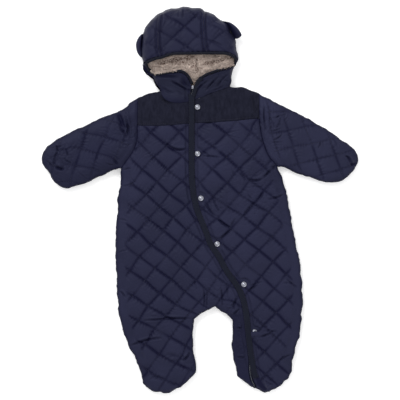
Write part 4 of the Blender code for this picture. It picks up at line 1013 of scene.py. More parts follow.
def zip_side(side, top, bottom):
    """A front's edge beside the zip, side -1 right or 1 left, from the top level down."""
    levels = np.linspace(top, bottom, int(top - bottom) + 2)
    x, slope = opening_x(ZIP_CURVE, levels)
    return np.column_stack([x + side * ZIP_HALF * np.sqrt(1 + slope ** 2), levels])


def plain_share(points, region):
    """1 where a quilted panel is plain: side bands, sleeve heads and the strip inside
    the left leg."""
    share = np.zeros(len(points))
    if region.startswith("front"):
        for curve in SIDE_CURVES:
            share = np.maximum(share, smoothstep((BAND_WIDTH - distance(points, curve)) / BAND_FADE))
        strip = smoothstep((STRIP_WIDTH - distance(points, LEG_STRIP)) / 8.0)
        beside = smoothstep((points[:, 0] - 20.0) / 20.0) * smoothstep((-195.0 - points[:, 1]) / 20.0)
        zip_x = opening_x(ZIP_CURVE, points[:, 1])[0]
        share = np.maximum(share, strip * beside * (points[:, 0] < zip_x))
    if region.startswith("sleeve"):
        armhole = ARMHOLE[region.split("_")[1]][::3]
        share = np.maximum(share, smoothstep((SLEEVE_HEAD - distance(points, armhole)) / 9.0))
    return share


def cloth_drop(points, region):
    """Depth of a front piece's quilting and creases under the dome, and their painted shade."""
    uneven = PLAIN_DROP + 0.5 * ripple(points, 34.0, 51) + 0.25 * ripple(points, 13.0, 52)
    drop, marks = uneven, np.zeros(len(points))
    if region in QUILTS:
        plain = plain_share(points, region)
        pads, marks = quilt_drop(points, region)
        drop = (1.0 - plain) * pads + plain * (uneven + 0.6)
        marks = (1.0 - plain) * marks
        # painted shade over the plain strip inside the left leg
        leg_shade = STRIP_SHADE * smoothstep((30.0 - distance(points, LEG_STRIP)) / 10.0)
        marks = np.maximum(marks, leg_shade * (plain > 0.5) * (points[:, 0] > 30.0))
    creases = crease_drop(points) + crumple_drop(points)
    # creases get painted shade by their depth
    return drop + creases, np.maximum(marks, np.clip(creases / CREASE_SHADED, 0.0, 0.85))


def press_flat(points, top, dome, marks):
    """The pressed beds of the tape and the snaps, and painted shadow along the tape's edges, stronger on
    the wearer's right of it.
    """
    bed = dome - PAD
    near = distance(points, TAPE_CURVE[::4])
    beside_tape = np.exp(-((near - 0.5 * TAPE_WIDTH) / 1.3) ** 2) * (points[:, 1] < TAPE_TOP_Y + 12.0)
    right_of_tape = points[:, 0] < opening_x(TAPE_CURVE, points[:, 1])[0]
    marks = np.maximum(marks, beside_tape * np.where(right_of_tape, 0.8, 0.2))
    flat = smoothstep((near - 0.5 * TAPE_WIDTH - BED_MARGIN) / BED_RISE)
    flat = np.where(points[:, 1] > TAPE_TOP_Y + 8.0, 1.0, flat)
    top = bed + (top - bed) * flat
    for x, y in SNAPS:
        near = np.hypot(points[:, 0] - x, points[:, 1] - y)
        level = plain_top(np.array([[x, y]]))[0] - PAD
        top = level + (top - level) * smoothstep((near - SNAP_BED) / BED_RISE)
    return top, marks


def fold_over_snap(points, top, plain, marks):
    """The fold of the leg that lies over the lower half of the last snap, with painted shadow along its
    edge.
    """
    x, y = SNAPS[-1]
    across, down = points[:, 0] - x, y + SNAP_FOLD - points[:, 1]
    beside = smoothstep((15.0 - np.abs(across - 3.0)) / 9.0)
    cover = (down > 0.0) * beside * smoothstep((17.0 - down) / 12.0)
    top = np.where(cover > 0.0, top + cover * (plain + FOLD_RISE - top), top)
    # a thin painted shadow along the fold's edge
    lip = 0.9 * (np.abs(down) < 0.9) * (np.abs(across) < 9.0)
    return top, np.maximum(marks * (1.0 - cover), lip)


def front_height(points, region, seams, stitched=()):
    """Outer face of one front piece, and its painted shade there.

    The dome, less the quilting and creases, less a groove along each seam (curve, dip
    and painted shade) and a finer one along each row of top stitches (with its own width),
    pressed flat under the tape and the snaps.  Painted shade also darkens the outline.
    """
    depth = edge_distance(points)
    dome = plain_top(points, depth)
    drop, marks = cloth_drop(points, region)
    for seam, dip, shade in seams:
        near = distance(points, seam[::3])
        drop = drop + dip * smoothstep(1.0 - near / SEAM_DIP_WIDTH)
        marks = np.maximum(marks, shade * np.exp(-(near / SEAM_SHADE_WIDTH) ** 2))
    for row, dip, shade, width in stitched:
        fade = close_to(points, row[::3], width)
        drop = drop + dip * fade
        marks = np.maximum(marks, shade * fade)
    top, marks = press_flat(points, dome - drop * smoothstep(depth / SOFT_EDGE), dome, marks)
    if region == "front_left":
        top, marks = fold_over_snap(points, top, dome, marks)
    top = np.maximum(top, FRONT_SEAM_LEVEL + 0.3)
    # painted shade along the outline, where the cloth turns down
    edge_marks = EDGE_SHADE * np.exp(-(depth / EDGE_SHADE_WIDTH) ** 2)
    edge_marks += EDGE_SOFT * np.exp(-(depth / EDGE_SOFT_WIDTH) ** 2)
    return top, np.clip(np.maximum(marks, edge_marks), 0.0, 1.0)


print("tape runs", round(float(run_length(TAPE_CURVE))), "mm along its centre")

# %% [markdown]
# ## From four edges to a panel
#
# Each panel is a grid between four curves.  A Coons patch does this: it blends left to
# right, blends top to bottom, adds them, and takes away the blend of the four corners.
# Legs and body share a row of points, so several grids are welded into one panel.  Along
# its outer border a panel is turned down into the seam, as a cut edge is.

# %% Panel helpers
GRID = 1.35              # spacing of the points on the outer faces
BACK_GRID = 3.0          # and on the back
WELD = 0.02              # points this near to each other become one
TURN_IN = 0.5            # a turned edge goes in by this much
TURN_DOWN = 9.0          # and down by up to this much
WOBBLE = 0.85            # sideways shift of the cloth near the outline
WOBBLE_REACH = 16.0
SLEEVE_WOBBLE = 0.6      # the sleeves' edges are smoother
UNDERSIDE_PAINTED_SHADE = 0.4   # painted shade of the sleeves' undersides
BACK_PAINTED_SHADE = 0.3        # and of the back
BACK_LIP = 2.0           # width of the strip that goes up to the seam from below


def coons(top, bottom, left, right, spacing=GRID, across=None):
    """Grid between four curves: (left-right blend) + (top-bottom blend) - (blend of the
    corners).  top and bottom run from left to right, left and right run downwards."""
    length = [run_length(curve) for curve in (top, bottom, left, right)]
    across = across or max(3, int(max(length[:2]) / spacing) + 1)
    down = max(3, int(max(length[2:]) / spacing) + 1)
    top, bottom, left, right = (stops(curve, count) for curve, count in (
        (top, across), (bottom, across), (left, down), (right, down)))
    left[0], left[-1], right[0], right[-1] = top[0], bottom[0], top[-1], bottom[-1]
    u = np.linspace(0.0, 1.0, across)[None, :, None]
    v = np.linspace(0.0, 1.0, down)[:, None, None]
    sides = left[:, None] * (1 - u) + right[:, None] * u
    ends = top[None] * (1 - v) + bottom[None] * v
    corners = (top[0] * (1 - u) + top[-1] * u) * (1 - v) + (bottom[0] * (1 - u) + bottom[-1] * u) * v
    return sides + ends - corners


def grid_faces(rows, columns):
    """Quads over a grid of points, anticlockwise when row 0 is at the top."""
    number = np.arange(rows * columns).reshape(rows, columns)
    corners = (number[:-1, :-1], number[1:, :-1], number[1:, 1:], number[:-1, 1:])
    return np.stack(corners, axis=-1).reshape(-1, 4)


def weld(grids):
    """One set of plan points and quads from several grids that share borders."""
    plan = np.vstack([grid.reshape(-1, 2) for grid in grids])
    counts = np.cumsum([0] + [grid.shape[0] * grid.shape[1] for grid in grids])
    faces = np.vstack([grid_faces(*grid.shape[:2]) + start for grid, start in zip(grids, counts)])
    _, first, same = np.unique(np.round(plan / WELD).astype(int), axis=0, return_index=True,
                               return_inverse=True)
    return plan[first], same.reshape(-1)[faces]


def border(faces):
    """Edges that belong to one face only, in that face's own direction."""
    edges = np.vstack([faces[:, [k, (k + 1) % 4]] for k in range(4)])
    _, index, uses = np.unique(np.sort(edges, axis=1), axis=0, return_index=True, return_counts=True)
    return edges[index[uses == 1]]


def inward_push(plan, rim):
    """Unit vectors into the panel at its border points, 0 elsewhere."""
    run = plan[rim[:, 1]] - plan[rim[:, 0]]
    normal = np.column_stack([-run[:, 1], run[:, 0]])
    push = np.zeros_like(plan)
    np.add.at(push, rim[:, 0], normal)
    np.add.at(push, rim[:, 1], normal)
    return push / np.maximum(np.hypot(*push.T), 1e-9)[:, None]


def wobble(plan):
    """Sideways shift of the cloth near the suit's outline: two ripples as a vector,
    fading inwards, because the padding bulges unevenly between the seam's stitches."""
    fade = 1.0 - smoothstep(edge_distance(plan) / WOBBLE_REACH)
    shift = [WOBBLE * ripple(plan, 30.0, seed) + 0.6 * WOBBLE * ripple(plan, 12.0, seed + 1)
             for seed in (91, 93)]
    return fade[:, None] * np.column_stack(shift)


def seamed(grids):
    """Welded grids, drawn in by half a gap: plan points, quads, border edges, push into
    the panel, the border's points, and their numbers in a second ring."""
    plan, faces = weld(grids)
    rim = border(faces)
    push = inward_push(plan, rim)
    on_rim = np.unique(rim)
    number = np.full(len(plan), -1)
    number[on_rim] = len(plan) + np.arange(len(on_rim))
    return plan + HALF_GAP * push, faces, rim, push, on_rim, number


def turned_panel(grids, height, lowest):
    """Points, quads and painted shade of a panel whose border is turned into the seam.

    height gives z and painted shade of plan points; lowest is the seam's level there.
    """
    plan, faces, rim, push, on_rim, number = seamed(grids)
    z, hollow = height(plan)
    top = np.column_stack([plan + wobble(plan), z])
    low = top[on_rim]
    low[:, :2] += TURN_IN * push[on_rim]
    floor = lowest(low[:, :2]) if callable(lowest) else lowest
    low[:, 2] = np.maximum(floor, low[:, 2] - TURN_DOWN)
    strip = np.column_stack([rim[:, 1], rim[:, 0], number[rim[:, 0]], number[rim[:, 1]]])
    # the turned border gets full painted shade
    hollow = np.concatenate([hollow, np.ones(len(on_rim))])
    return np.vstack([top, low]), np.vstack([faces, strip]), hollow


# %% Objects from arrays
made_pieces = {}


def piece(name, verts, faces, finish, replaced=(), hollow=None):
    """A smooth-shaded object that rides on the suit and takes a finish.  faces is an
    array of quads, or a list where some faces have more corners."""
    mesh = bpy.data.meshes.new(name)
    faces = faces.tolist() if isinstance(faces, np.ndarray) else faces
    mesh.from_pydata((verts * MM).tolist(), [], faces)
    mesh.polygons.foreach_set("use_smooth", np.ones(len(mesh.polygons), dtype=bool))
    mesh.materials.append(finish)
    # the painted shade goes to the mesh as an attribute
    if hollow is not None:
        layer = mesh.attributes.new("hollow", "FLOAT", "POINT")
        layer.data.foreach_set("value", np.asarray(hollow, dtype=np.float32))
    made = bpy.data.objects.new(name, mesh)
    bpy.context.scene.collection.objects.link(made)
    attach(made, "root")
    if replaced:
        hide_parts(*replaced)
    made_pieces[name] = made
    print(name, len(mesh.vertices), "points,", len(mesh.polygons), "faces")
    return made


# %% [markdown]
# ## Finishes
#
# A node material is a short recipe, and `add` writes one step of it: it makes a node, sets
# its choices, and either links a socket or fills it in.

# %% Node helpers
WAVE_UNIT = 0.314        # scale of a wave texture whose bands are one unit wide


def add(tree, kind, inputs=None, **choices):
    """One node of a material; inputs maps a socket's name or number to a value or link."""
    made = tree.nodes.new(kind)
    for name, value in choices.items():
        setattr(made, name, value)
    for name, value in (inputs or {}).items():
        if isinstance(value, bpy.types.NodeSocket):
            tree.links.new(value, made.inputs[name])
        else:
            made.inputs[name].default_value = value
    return made


def new_finish(name, **sockets):
    """A material with its shader's plain sockets filled in; gives tree and shader too."""
    made = bpy.data.materials.new(name)
    made.use_nodes = True
    tree = made.node_tree
    shader = tree.nodes["Principled BSDF"]
    for socket, value in sockets.items():
        shader.inputs[socket.replace("_", " ")].default_value = value
    return made, tree, shader


def place(tree, scale=(1.0, 1.0, 1.0), turn=0.0):
    """Object coordinates, scaled and turned about z."""
    where = add(tree, "ShaderNodeTexCoord")
    return add(tree, "ShaderNodeMapping", {
        "Vector": where.outputs["Object"],
        "Scale": scale,
        "Rotation": (0.0, 0.0, turn),
    }).outputs["Vector"]


def noise(tree, vector, scale, detail=2.0, roughness=0.5):
    """Cloudy values about 0.5."""
    return add(tree, "ShaderNodeTexNoise", {
        "Vector": vector, "Scale": scale, "Detail": detail, "Roughness": roughness,
    }).outputs["Fac"]


def level(tree, value, low, high, new_low=0.0, new_high=1.0):
    """Stretches a range of values to another, kept within it."""
    return add(tree, "ShaderNodeMapRange", {
        "Value": value, "From Min": low, "From Max": high, "To Min": new_low, "To Max": new_high,
    }).outputs["Result"]


def blend_colours(tree, share, first, second):
    """Mix of two colours; each is red, green and blue, or another mix."""
    first, second = (colour if isinstance(colour, bpy.types.NodeSocket) else (*colour, 1.0)
                     for colour in (first, second))
    mixed = add(tree, "ShaderNodeMix", {0: share, 6: first, 7: second}, data_type="RGBA")
    return mixed.outputs[2]


def shades(tone, factor):
    """A colour times a factor."""
    return tuple(factor * part for part in tone)


def total(tree, *weighted):
    """Sum of (value, weight) pairs."""
    result = None
    for value, weight in weighted:
        part = add(tree, "ShaderNodeMath", {0: value, 1: weight}, operation="MULTIPLY").outputs[0]
        if result is None:
            result = part
        else:
            result = add(tree, "ShaderNodeMath", {0: result, 1: part}, operation="ADD").outputs[0]
    return result


def bump(tree, height, depth, strength):
    """Small relief, its depth in millimetres."""
    return add(tree, "ShaderNodeBump", {
        "Height": height, "Distance": depth * MM, "Strength": strength,
    }).outputs["Normal"]


def hollowness(tree):
    """The painted shade attribute that each panel has: 1 in a seam, 0 on a crest."""
    return add(tree, "ShaderNodeAttribute", attribute_name="hollow").outputs["Fac"]


def bands(tree, axis, period, distortion, **sockets):
    """Bands across an axis, with their period in millimetres."""
    return add(tree, "ShaderNodeTexWave", {
        "Vector": place(tree), "Scale": WAVE_UNIT / (period * MM), "Distortion": distortion,
        "Detail": 1.0, **sockets,
    }, bands_direction=axis).outputs["Fac"]


def weave(tree, period):
    """Threads over and under: the product of two sets of bands at right angles."""
    over, under = (bands(tree, axis, period, 0.6, **{"Detail Scale": 2.0}) for axis in ("X", "Y"))
    return add(tree, "ShaderNodeMath", {0: over, 1: under}, operation="MULTIPLY").outputs[0]


def drive(tree, shader, **outputs):
    """Links outputs to the shader's sockets."""
    for socket, output in outputs.items():
        tree.links.new(output, shader.inputs[socket.replace("_", " ")])


# %% [markdown]
# ### The navy shell
#
# The shell is a fine plain-woven nylon with a faint satin sheen.  Each panel carries painted
# shade as an attribute, for its stitch valleys, gathers, creases, seams and edges, and the
# material blends towards a deep navy there.  Broad noise stands for the uneven dye lots
# that wear brings out.

# %% Navy nylon
# colour of the painted shade in stitch valleys, gathers, creases, seams and along the edges
PAINTED_SHADE_NAVY = (0.0030, 0.0028, 0.0160)
SATIN = 0.46             # mean roughness


def navy_nylon(name, tone=(0.0142, 0.0149, 0.0338)):
    """Woven satin nylon, blended towards a deep navy where a panel has painted shade."""
    finish, tree, shader = new_finish(
        name, Specular_IOR_Level=0.09, Specular_Tint=(0.7, 0.75, 1.0, 1.0), Sheen_Weight=0.03,
        Sheen_Roughness=0.4, Sheen_Tint=(0.5, 0.55, 1.0, 1.0))
    where = place(tree)
    broad = noise(tree, where, 16.0, 3.0)
    cloth = blend_colours(tree, level(tree, broad, 0.35, 0.7), tone, shades(tone, 1.28))
    # painted shade: the attribute blends the cloth towards the deep navy
    painted_shade_share = level(tree, hollowness(tree), 0.1, 1.0, 0.0, 0.9)
    fibres = noise(tree, where, 900.0)
    soft = noise(tree, where, 95.0, 4.0, 0.55)
    height = total(tree, (weave(tree, 0.55), 0.1), (fibres, 0.06), (soft, 0.9))
    drive(tree, shader, Base_Color=blend_colours(tree, painted_shade_share, cloth, PAINTED_SHADE_NAVY),
          Normal=bump(tree, height, 0.9, 0.55),
          Roughness=level(tree, broad, 0.3, 0.7, SATIN - 0.07, SATIN + 0.09))
    return finish


NAVY = navy_nylon("navy_nylon")
# painted shade and painted light: the collar, the hood with its ears and the right sleeve take darker
# copies of the shell, the left sleeve a lighter one
PAINTED_SHADE_COLLAR = navy_nylon("collar_nylon_painted_shade", (0.0112, 0.0120, 0.0255))
PAINTED_SHADE_HOOD_NAVY = navy_nylon("hood_nylon_painted_shade", (0.0126, 0.0131, 0.0298))
PAINTED_LIGHT_AND_SHADE_SLEEVE_NAVY = {"right": navy_nylon("right_sleeve_nylon", (0.0116, 0.0122, 0.0284)),
               "left": navy_nylon("left_sleeve_nylon", (0.0158, 0.0166, 0.0368))}
print("finishes:", NAVY.name, PAINTED_SHADE_COLLAR.name, PAINTED_SHADE_HOOD_NAVY.name, *[made.name for made in PAINTED_LIGHT_AND_SHADE_SLEEVE_NAVY.values()])

# %% [markdown]
# ### The napped yoke, the tape and the binding
#
# The yoke is a brushed matte cloth, darker and blacker than the shell, with a short nap that
# lies in patches.  Tape and binding are ribbed across, so their bands follow the width.

# %% Yoke, tape and binding finishes
def napped_cloth():
    """Brushed matte cloth: patches and streaks of nap in colour and relief."""
    finish, tree, shader = new_finish(
        "napped_yoke", Specular_IOR_Level=0.03, Roughness=0.92, Sheen_Weight=0.03,
        Sheen_Roughness=0.6, Sheen_Tint=(0.6, 0.62, 0.8, 1.0))
    patches = noise(tree, place(tree, (1.0, 0.6, 1.0)), 130.0, 3.0, 0.6)
    streaks = noise(tree, place(tree, (1.0, 0.22, 1.0)), 330.0)
    nap = noise(tree, place(tree, (1.0, 0.5, 1.0)), 1300.0)
    mixed = level(tree, total(tree, (patches, 0.6), (streaks, 0.4)), 0.36, 0.66)
    relief = total(tree, (patches, 0.5), (streaks, 0.4), (nap, 0.3))
    drive(tree, shader, Normal=bump(tree, relief, 0.7, 0.7),
          Base_Color=blend_colours(tree, mixed, (0.0075, 0.008, 0.0155), (0.0135, 0.0142, 0.026)))
    return finish


def ribbed_tape(name, tone, period):
    """Tape with ribs across it."""
    finish, tree, shader = new_finish(
        name, Specular_IOR_Level=0.04, Roughness=0.8, Sheen_Weight=0.02, Sheen_Roughness=0.5)
    ribs = bands(tree, "Y", period, 0.8)
    broad = noise(tree, place(tree), 60.0, 3.0)
    share = total(tree, (ribs, 0.4), (broad, 0.6))
    drive(tree, shader, Base_Color=blend_colours(tree, share, tone, shades(tone, 1.5)),
          Normal=bump(tree, total(tree, (ribs, 0.5), (broad, 0.5)), 0.4, 0.8))
    return finish


YOKE = napped_cloth()
TAPE = ribbed_tape("grosgrain_tape", (0.0082, 0.0094, 0.0165), 0.9)
BINDING = ribbed_tape("bound_edge", (0.0085, 0.0095, 0.0155), 0.7)
ZIP_TAPE = ribbed_tape("zip_tape", (0.01, 0.012, 0.023), 0.6)
print("finishes:", YOKE.name, TAPE.name, BINDING.name, ZIP_TAPE.name)

# %% [markdown]
# ### Sherpa, thread and metal
#
# Sherpa fleece is a pile of tight curls.  Its clumps are real geometry further down; the
# material adds the fibres, warm painted shade between the curls, so that their tops look
# lighter, and painted shade wherever the panel's shade attribute is high.

# %% Sherpa, thread and metal finishes
def sherpa_pile(name, light=(0.64, 0.535, 0.475), dark=(0.075, 0.040, 0.028)):
    """Curly pile with painted shade in its hollows and between the curls."""
    finish, tree, shader = new_finish(
        name, Specular_IOR_Level=0.1, Roughness=0.95, Sheen_Weight=0.12, Sheen_Roughness=0.5,
        Sheen_Tint=(1.0, 0.95, 0.88, 1.0))
    where = place(tree)
    voronoi = add(tree, "ShaderNodeTexVoronoi", {"Vector": where, "Scale": 330.0}, feature="F1")
    curls = voronoi.outputs["Distance"]
    fibres = noise(tree, where, 800.0, 4.0, 0.7)
    patches = noise(tree, where, 60.0, 3.0, 0.6)
    # painted shade: the attribute and the gaps between the curls; fibres and patches vary the tone at
    # random
    shade = total(tree, (hollowness(tree), 0.8), (level(tree, curls, 0.2, 0.9), 0.2),
                  (level(tree, fibres, 0.3, 0.75), 0.25), (level(tree, patches, 0.4, 0.7), 0.35))
    drive(tree, shader, Base_Color=blend_colours(tree, level(tree, shade, 0.12, 1.0), light, dark),
          Normal=bump(tree, total(tree, (curls, -0.6), (fibres, 0.6)), 1.0, 0.8))
    return finish


def sewing_thread():
    """Twisted thread: slanting bands."""
    finish, tree, shader = new_finish("navy_thread", Specular_IOR_Level=0.35, Roughness=0.45)
    twist = add(tree, "ShaderNodeTexWave", {
        "Vector": place(tree, turn=0.6), "Scale": 900.0, "Distortion": 0.4,
    }).outputs["Fac"]
    drive(tree, shader,
          Base_Color=blend_colours(tree, twist, (0.005, 0.0055, 0.014), (0.012, 0.013, 0.029)))
    return finish


def dull_metal(name, tone, roughness):
    """Metal with fine scuffs."""
    finish, tree, shader = new_finish(name, Metallic=1.0)
    scuffs = noise(tree, place(tree, (1.0, 4.0, 1.0)), 420.0, 5.0, 0.65)
    worn = level(tree, scuffs, 0.45, 0.8)
    drive(tree, shader, Base_Color=blend_colours(tree, worn, tone, shades(tone, 0.6)),
          Normal=bump(tree, scuffs, 0.05, 0.5),
          Roughness=level(tree, scuffs, 0.3, 0.75, roughness - 0.1, roughness + 0.15))
    return finish


FLEECE = sherpa_pile("sherpa_fleece")
THREAD = sewing_thread()
NICKEL = dull_metal("dull_nickel", (0.34, 0.35, 0.40), 0.34)
TEETH = dull_metal("zip_teeth_metal", (0.4, 0.41, 0.45), 0.42)
print("finishes:", FLEECE.name, THREAD.name, NICKEL.name, TEETH.name)

# %% [markdown]
# ## The fronts
#
# The right front is cut in one with the right leg, the crotch and a strip inside the left
# leg, so it is three grids that share the row at crotch level.  The left front runs from
# the yoke to the left toe in a single grid, and its right edge is the slanting opening.

# %% Corners of the panels
HIP_Y = CROTCH[1]
ANKLE_Y = -322.0
LEFT_INNER_ANKLE_Y = -333.0
LEFT_OUTER_ANKLE_Y = -330.0


def at_level(curve, y):
    """The point of a curve nearest to a level."""
    return curve[int(np.argmin(np.abs(curve[:, 1] - y)))]


def leg_grid(top_row, outer, inner, toe, outer_side, spacing):
    """A leg below the hip row: outer and inner edges down to the ankle, and the toe's
    rounding as the lower edge.  outer_side is -1 where the outer edge is on the right."""
    outer_ankle, inner_ankle = at_level(outer, ANKLE_Y), at_level(inner, ANKLE_Y)
    down_outer = between(outer, at_level(outer, HIP_Y), outer_ankle)
    down_inner = between(inner, CROTCH, inner_ankle)
    sole = join(between(outer, outer_ankle, toe[0]), *toe[1:], between(inner, toe[-1][-1], inner_ankle))
    if outer_side < 0:
        return coons(top_row, sole, down_outer, down_inner, spacing, across=len(top_row))
    return coons(top_row, sole[::-1], down_inner, down_outer, spacing, across=len(top_row))


def split_row(left, right, spacing):
    """Points of the hip row from edge to edge, and the number of the one at the crotch."""
    first = np.linspace(left, CROTCH, max(3, int((CROTCH[0] - left[0]) / spacing)))
    second = np.linspace(CROTCH, right, max(3, int((right[0] - CROTCH[0]) / spacing)))
    return np.vstack([first, second[1:]]), len(first)


SIDE_RIGHT_HIP = at_level(EDGE["side_right"], HIP_Y)
SIDE_LEFT_HIP = at_level(EDGE["side_left"], HIP_Y)
zip_right = zip_side(-1, YOKE_RIGHT[-1][1], ZIP_END[1] + 1.2)
zip_left = zip_side(1, YOKE_LEFT[0][1], ZIP_END[1] - 1.0)
print("hips from", np.round(SIDE_RIGHT_HIP, 1), "to", np.round(SIDE_LEFT_HIP, 1))

# %% Grids of the right front
hip_row, crotch_number = split_row(SIDE_RIGHT_HIP, at_level(zip_right, HIP_Y), GRID)
torso = coons(SEAM["yoke_right"], hip_row,
              join(SEAM["armpit_right"], between(EDGE["side_right"], ARMPIT_RIGHT[-1], hip_row[0])),
              between(zip_right, zip_right[0], hip_row[-1]), GRID, across=len(hip_row))
right_leg = leg_grid(hip_row[:crotch_number], EDGE["side_right"], EDGE["inner_right"],
                     [TOE_RIGHT, [TOE_RIGHT]], -1, GRID)
inner_ankle = at_level(EDGE["inner_left"], LEFT_INNER_ANKLE_Y)
strip_row = hip_row[crotch_number - 1:]
strip = coons(strip_row, join(between(EDGE["inner_left"], inner_ankle, ZIP_END), zip_right[-1:]),
              between(EDGE["inner_left"], CROTCH, inner_ankle),
              between(zip_right, hip_row[-1], zip_right[-1]), GRID, across=len(strip_row))
front_grids = {"right": (torso, right_leg, strip)}

# %% Grid of the left front
left_ankle = at_level(EDGE["side_left"], LEFT_OUTER_ANKLE_Y)
left_sole = join(EDGE["toe_left"], between(EDGE["side_left"], TOE_LEFT, left_ankle))
left_side = join(SEAM["armpit_left"], between(EDGE["side_left"], ARMPIT_LEFT[-1], left_ankle))
front_grids["left"] = (coons(SEAM["yoke_left"], left_sole, zip_left, left_side),)

# %% Both fronts
def panel(name, grids, height, finish, node, lowest=FRONT_SEAM_LEVEL):
    """A panel of the upper side, turned into its seam all round."""
    verts, faces, hollow = turned_panel(grids, height, lowest)
    piece(name, verts, faces, finish, [node], hollow)


# curve, dip and painted shade of each seam
armhole_seams = {side: [(ARMHOLE[side], SEAM_DIP, 1.0)] for side in SIDES}
yoke_seams = {side: [(SEAM["yoke_" + side], 0.4 * SEAM_DIP, 0.2)] for side in SIDES}
neck_seams = {side: [(SEAM["neck_" + side], 0.6 * SEAM_DIP, 0.5)] for side in SIDES}
front_seams = {side: yoke_seams[side] + armhole_seams[side] for side in SIDES}
for side, grids in front_grids.items():
    region = "front_" + side
    panel("quilted_" + region, grids, lambda p: front_height(p, region, front_seams[side]),
          NAVY, region)

# %% [markdown]
# ## Yokes
#
# The yokes have no quilting.  Their cloth only dips along its seams, so the same formula
# serves with no quilt lines, and a row of top stitches runs above the yoke seam.

# %% Yokes
# curve, dip, painted shade and width of the row of top stitches
yoke_rows = {side: [(side_by(SEAM["yoke_" + side], TOPSTITCH), 0.7, 0.35, 1.1)] for side in SIDES}
zip_upper_right = zip_side(-1, NECK_SEAM_RIGHT[-1][1], YOKE_RIGHT[-1][1])
zip_upper_left = zip_side(1, NECK_SEAM_LEFT[0][1], YOKE_LEFT[0][1])
yoke_grids = {
    "right": coons(join(EDGE["shoulder_right"][::-1], SEAM["neck_right"]), SEAM["yoke_right"],
                   SEAM["armhole_right"], zip_upper_right),
    "left": coons(join(SEAM["neck_left"], EDGE["shoulder_left"][::-1]), SEAM["yoke_left"],
                  zip_upper_left, SEAM["armhole_left"]),
}
for side, grid in yoke_grids.items():
    seams = yoke_seams[side] + neck_seams[side] + armhole_seams[side]
    panel("napped_yoke_" + side, [grid], lambda p: front_height(p, "plain", seams, yoke_rows[side]),
          YOKE, "yoke_" + side)

# %% [markdown]
# ## Sleeves with closed mittens
#
# A sleeve is a flattened tube: the quilted upper face and the plain underside are the same
# grid at two heights, joined all round except at the armhole, where the tube is open.

# %% Sleeves
MITTEN_ROW = -3          # row of a sleeve's table at which its rounded end begins


def sleeve_grid(name):
    """Grid between the upper edge, the lower edge, the mitten's end and the armhole."""
    rows, _, start, turn, side = SLEEVES[name]
    hand, above, below = rows[MITTEN_ROW]
    upper_corner = at_angle(start, turn, hand, side * above)
    lower_corner = at_angle(start, turn, hand, -side * below)
    edge = EDGE["sleeve_" + name]
    shoulder, armpit = (edge[0], edge[-1]) if side < 0 else (edge[-1], edge[0])
    upper = between(edge, upper_corner, shoulder)
    lower = between(edge, lower_corner, armpit)
    mitten = between(edge, upper_corner, lower_corner)
    if side < 0:
        return coons(upper, lower, mitten, ARMHOLE[name])
    return coons(upper[::-1], lower[::-1], ARMHOLE[name], mitten)


def sleeve_tube(grid, height, opening):
    """Upper and lower face over one grid, joined along the border but for the part
    that lies on the opening."""
    plan, faces = weld([grid])
    rim = border(faces)
    plan = plan + HALF_GAP * inward_push(plan, rim)
    z, hollow = height(plan)
    low = underside(plan)
    count = len(plan)
    on_opening = distance(plan, opening[::2]) < 1.0
    closed = rim[~(on_opening[rim[:, 0]] & on_opening[rim[:, 1]])]
    strip = np.column_stack([closed[:, 1], closed[:, 0], closed[:, 0] + count, closed[:, 1] + count])
    plan = plan + SLEEVE_WOBBLE * wobble(plan)
    verts = np.vstack([np.column_stack([plan, z]), np.column_stack([plan, low])])
    faces = np.vstack([faces, faces[:, ::-1] + count, strip])
    return verts, faces, np.concatenate([hollow, np.full(count, UNDERSIDE_PAINTED_SHADE)])


sleeve_grids = {side: sleeve_grid(side) for side in SIDES}
for side, grid in sleeve_grids.items():
    region = "sleeve_" + side
    verts, faces, hollow = sleeve_tube(
        grid, lambda p: front_height(p, region, armhole_seams[side]), ARMHOLE[side])
    piece("quilted_" + region, verts, faces, PAINTED_LIGHT_AND_SHADE_SLEEVE_NAVY[side], [region], hollow)

# %% [markdown]
# ## The back and the back of the hood
#
# They lie on the table, so they are plain and flat there and only round up to the seam.

# %% Back panels
def back_panel(name, grids, node):
    """A panel seen from below: its faces are turned over, and its border goes up."""
    plan, faces, rim, push, on_rim, number = seamed(grids)
    low = underside(plan)
    lip = np.column_stack([plan[on_rim] + BACK_LIP * push[on_rim],
                           np.full(len(on_rim), BACK_SEAM_LEVEL)])
    strip = np.column_stack([rim[:, 0], rim[:, 1], number[rim[:, 1]], number[rim[:, 0]]])
    verts = np.vstack([np.column_stack([plan + wobble(plan), low]), lip])
    faces = np.vstack([faces[:, ::-1], strip])
    piece(name, verts, faces, NAVY, [node], np.full(len(verts), BACK_PAINTED_SHADE))


row, number = split_row(SIDE_RIGHT_HIP, SIDE_LEFT_HIP, BACK_GRID)
back_top = join(EDGE["shoulder_right"][::-1], SEAM["back_neck"], EDGE["shoulder_left"][::-1])
back_sides = [join(ARMHOLE["right"], between(EDGE["side_right"], ARMPIT_RIGHT[-1], row[0])),
              join(ARMHOLE["left"], between(EDGE["side_left"], ARMPIT_LEFT[-1], row[-1]))]
back_grids = [
    coons(back_top, row, *back_sides, BACK_GRID, across=len(row)),
    leg_grid(row[:number], EDGE["side_right"], EDGE["inner_right"],
             [TOE_RIGHT, [TOE_RIGHT]], -1, BACK_GRID),
    leg_grid(row[number - 1:], EDGE["side_left"], EDGE["inner_left"],
             [TOE_LEFT, EDGE["toe_left"][::-1]], 1, BACK_GRID),
]
back_panel("plain_back", back_grids, "back")

CROWN_RIGHT, CROWN_LEFT = (-82.8, 326.7), (32.4, 326.7)
hood_edge = EDGE["hood"]
hood_back_grid = coons(between(hood_edge, CROWN_RIGHT, CROWN_LEFT), SEAM["back_neck"],
                       between(hood_edge, CROWN_RIGHT, NECK_RIGHT),
                       between(hood_edge, CROWN_LEFT, NECK_LEFT), BACK_GRID)
back_panel("plain_hood_back", [hood_back_grid], "hood_back")

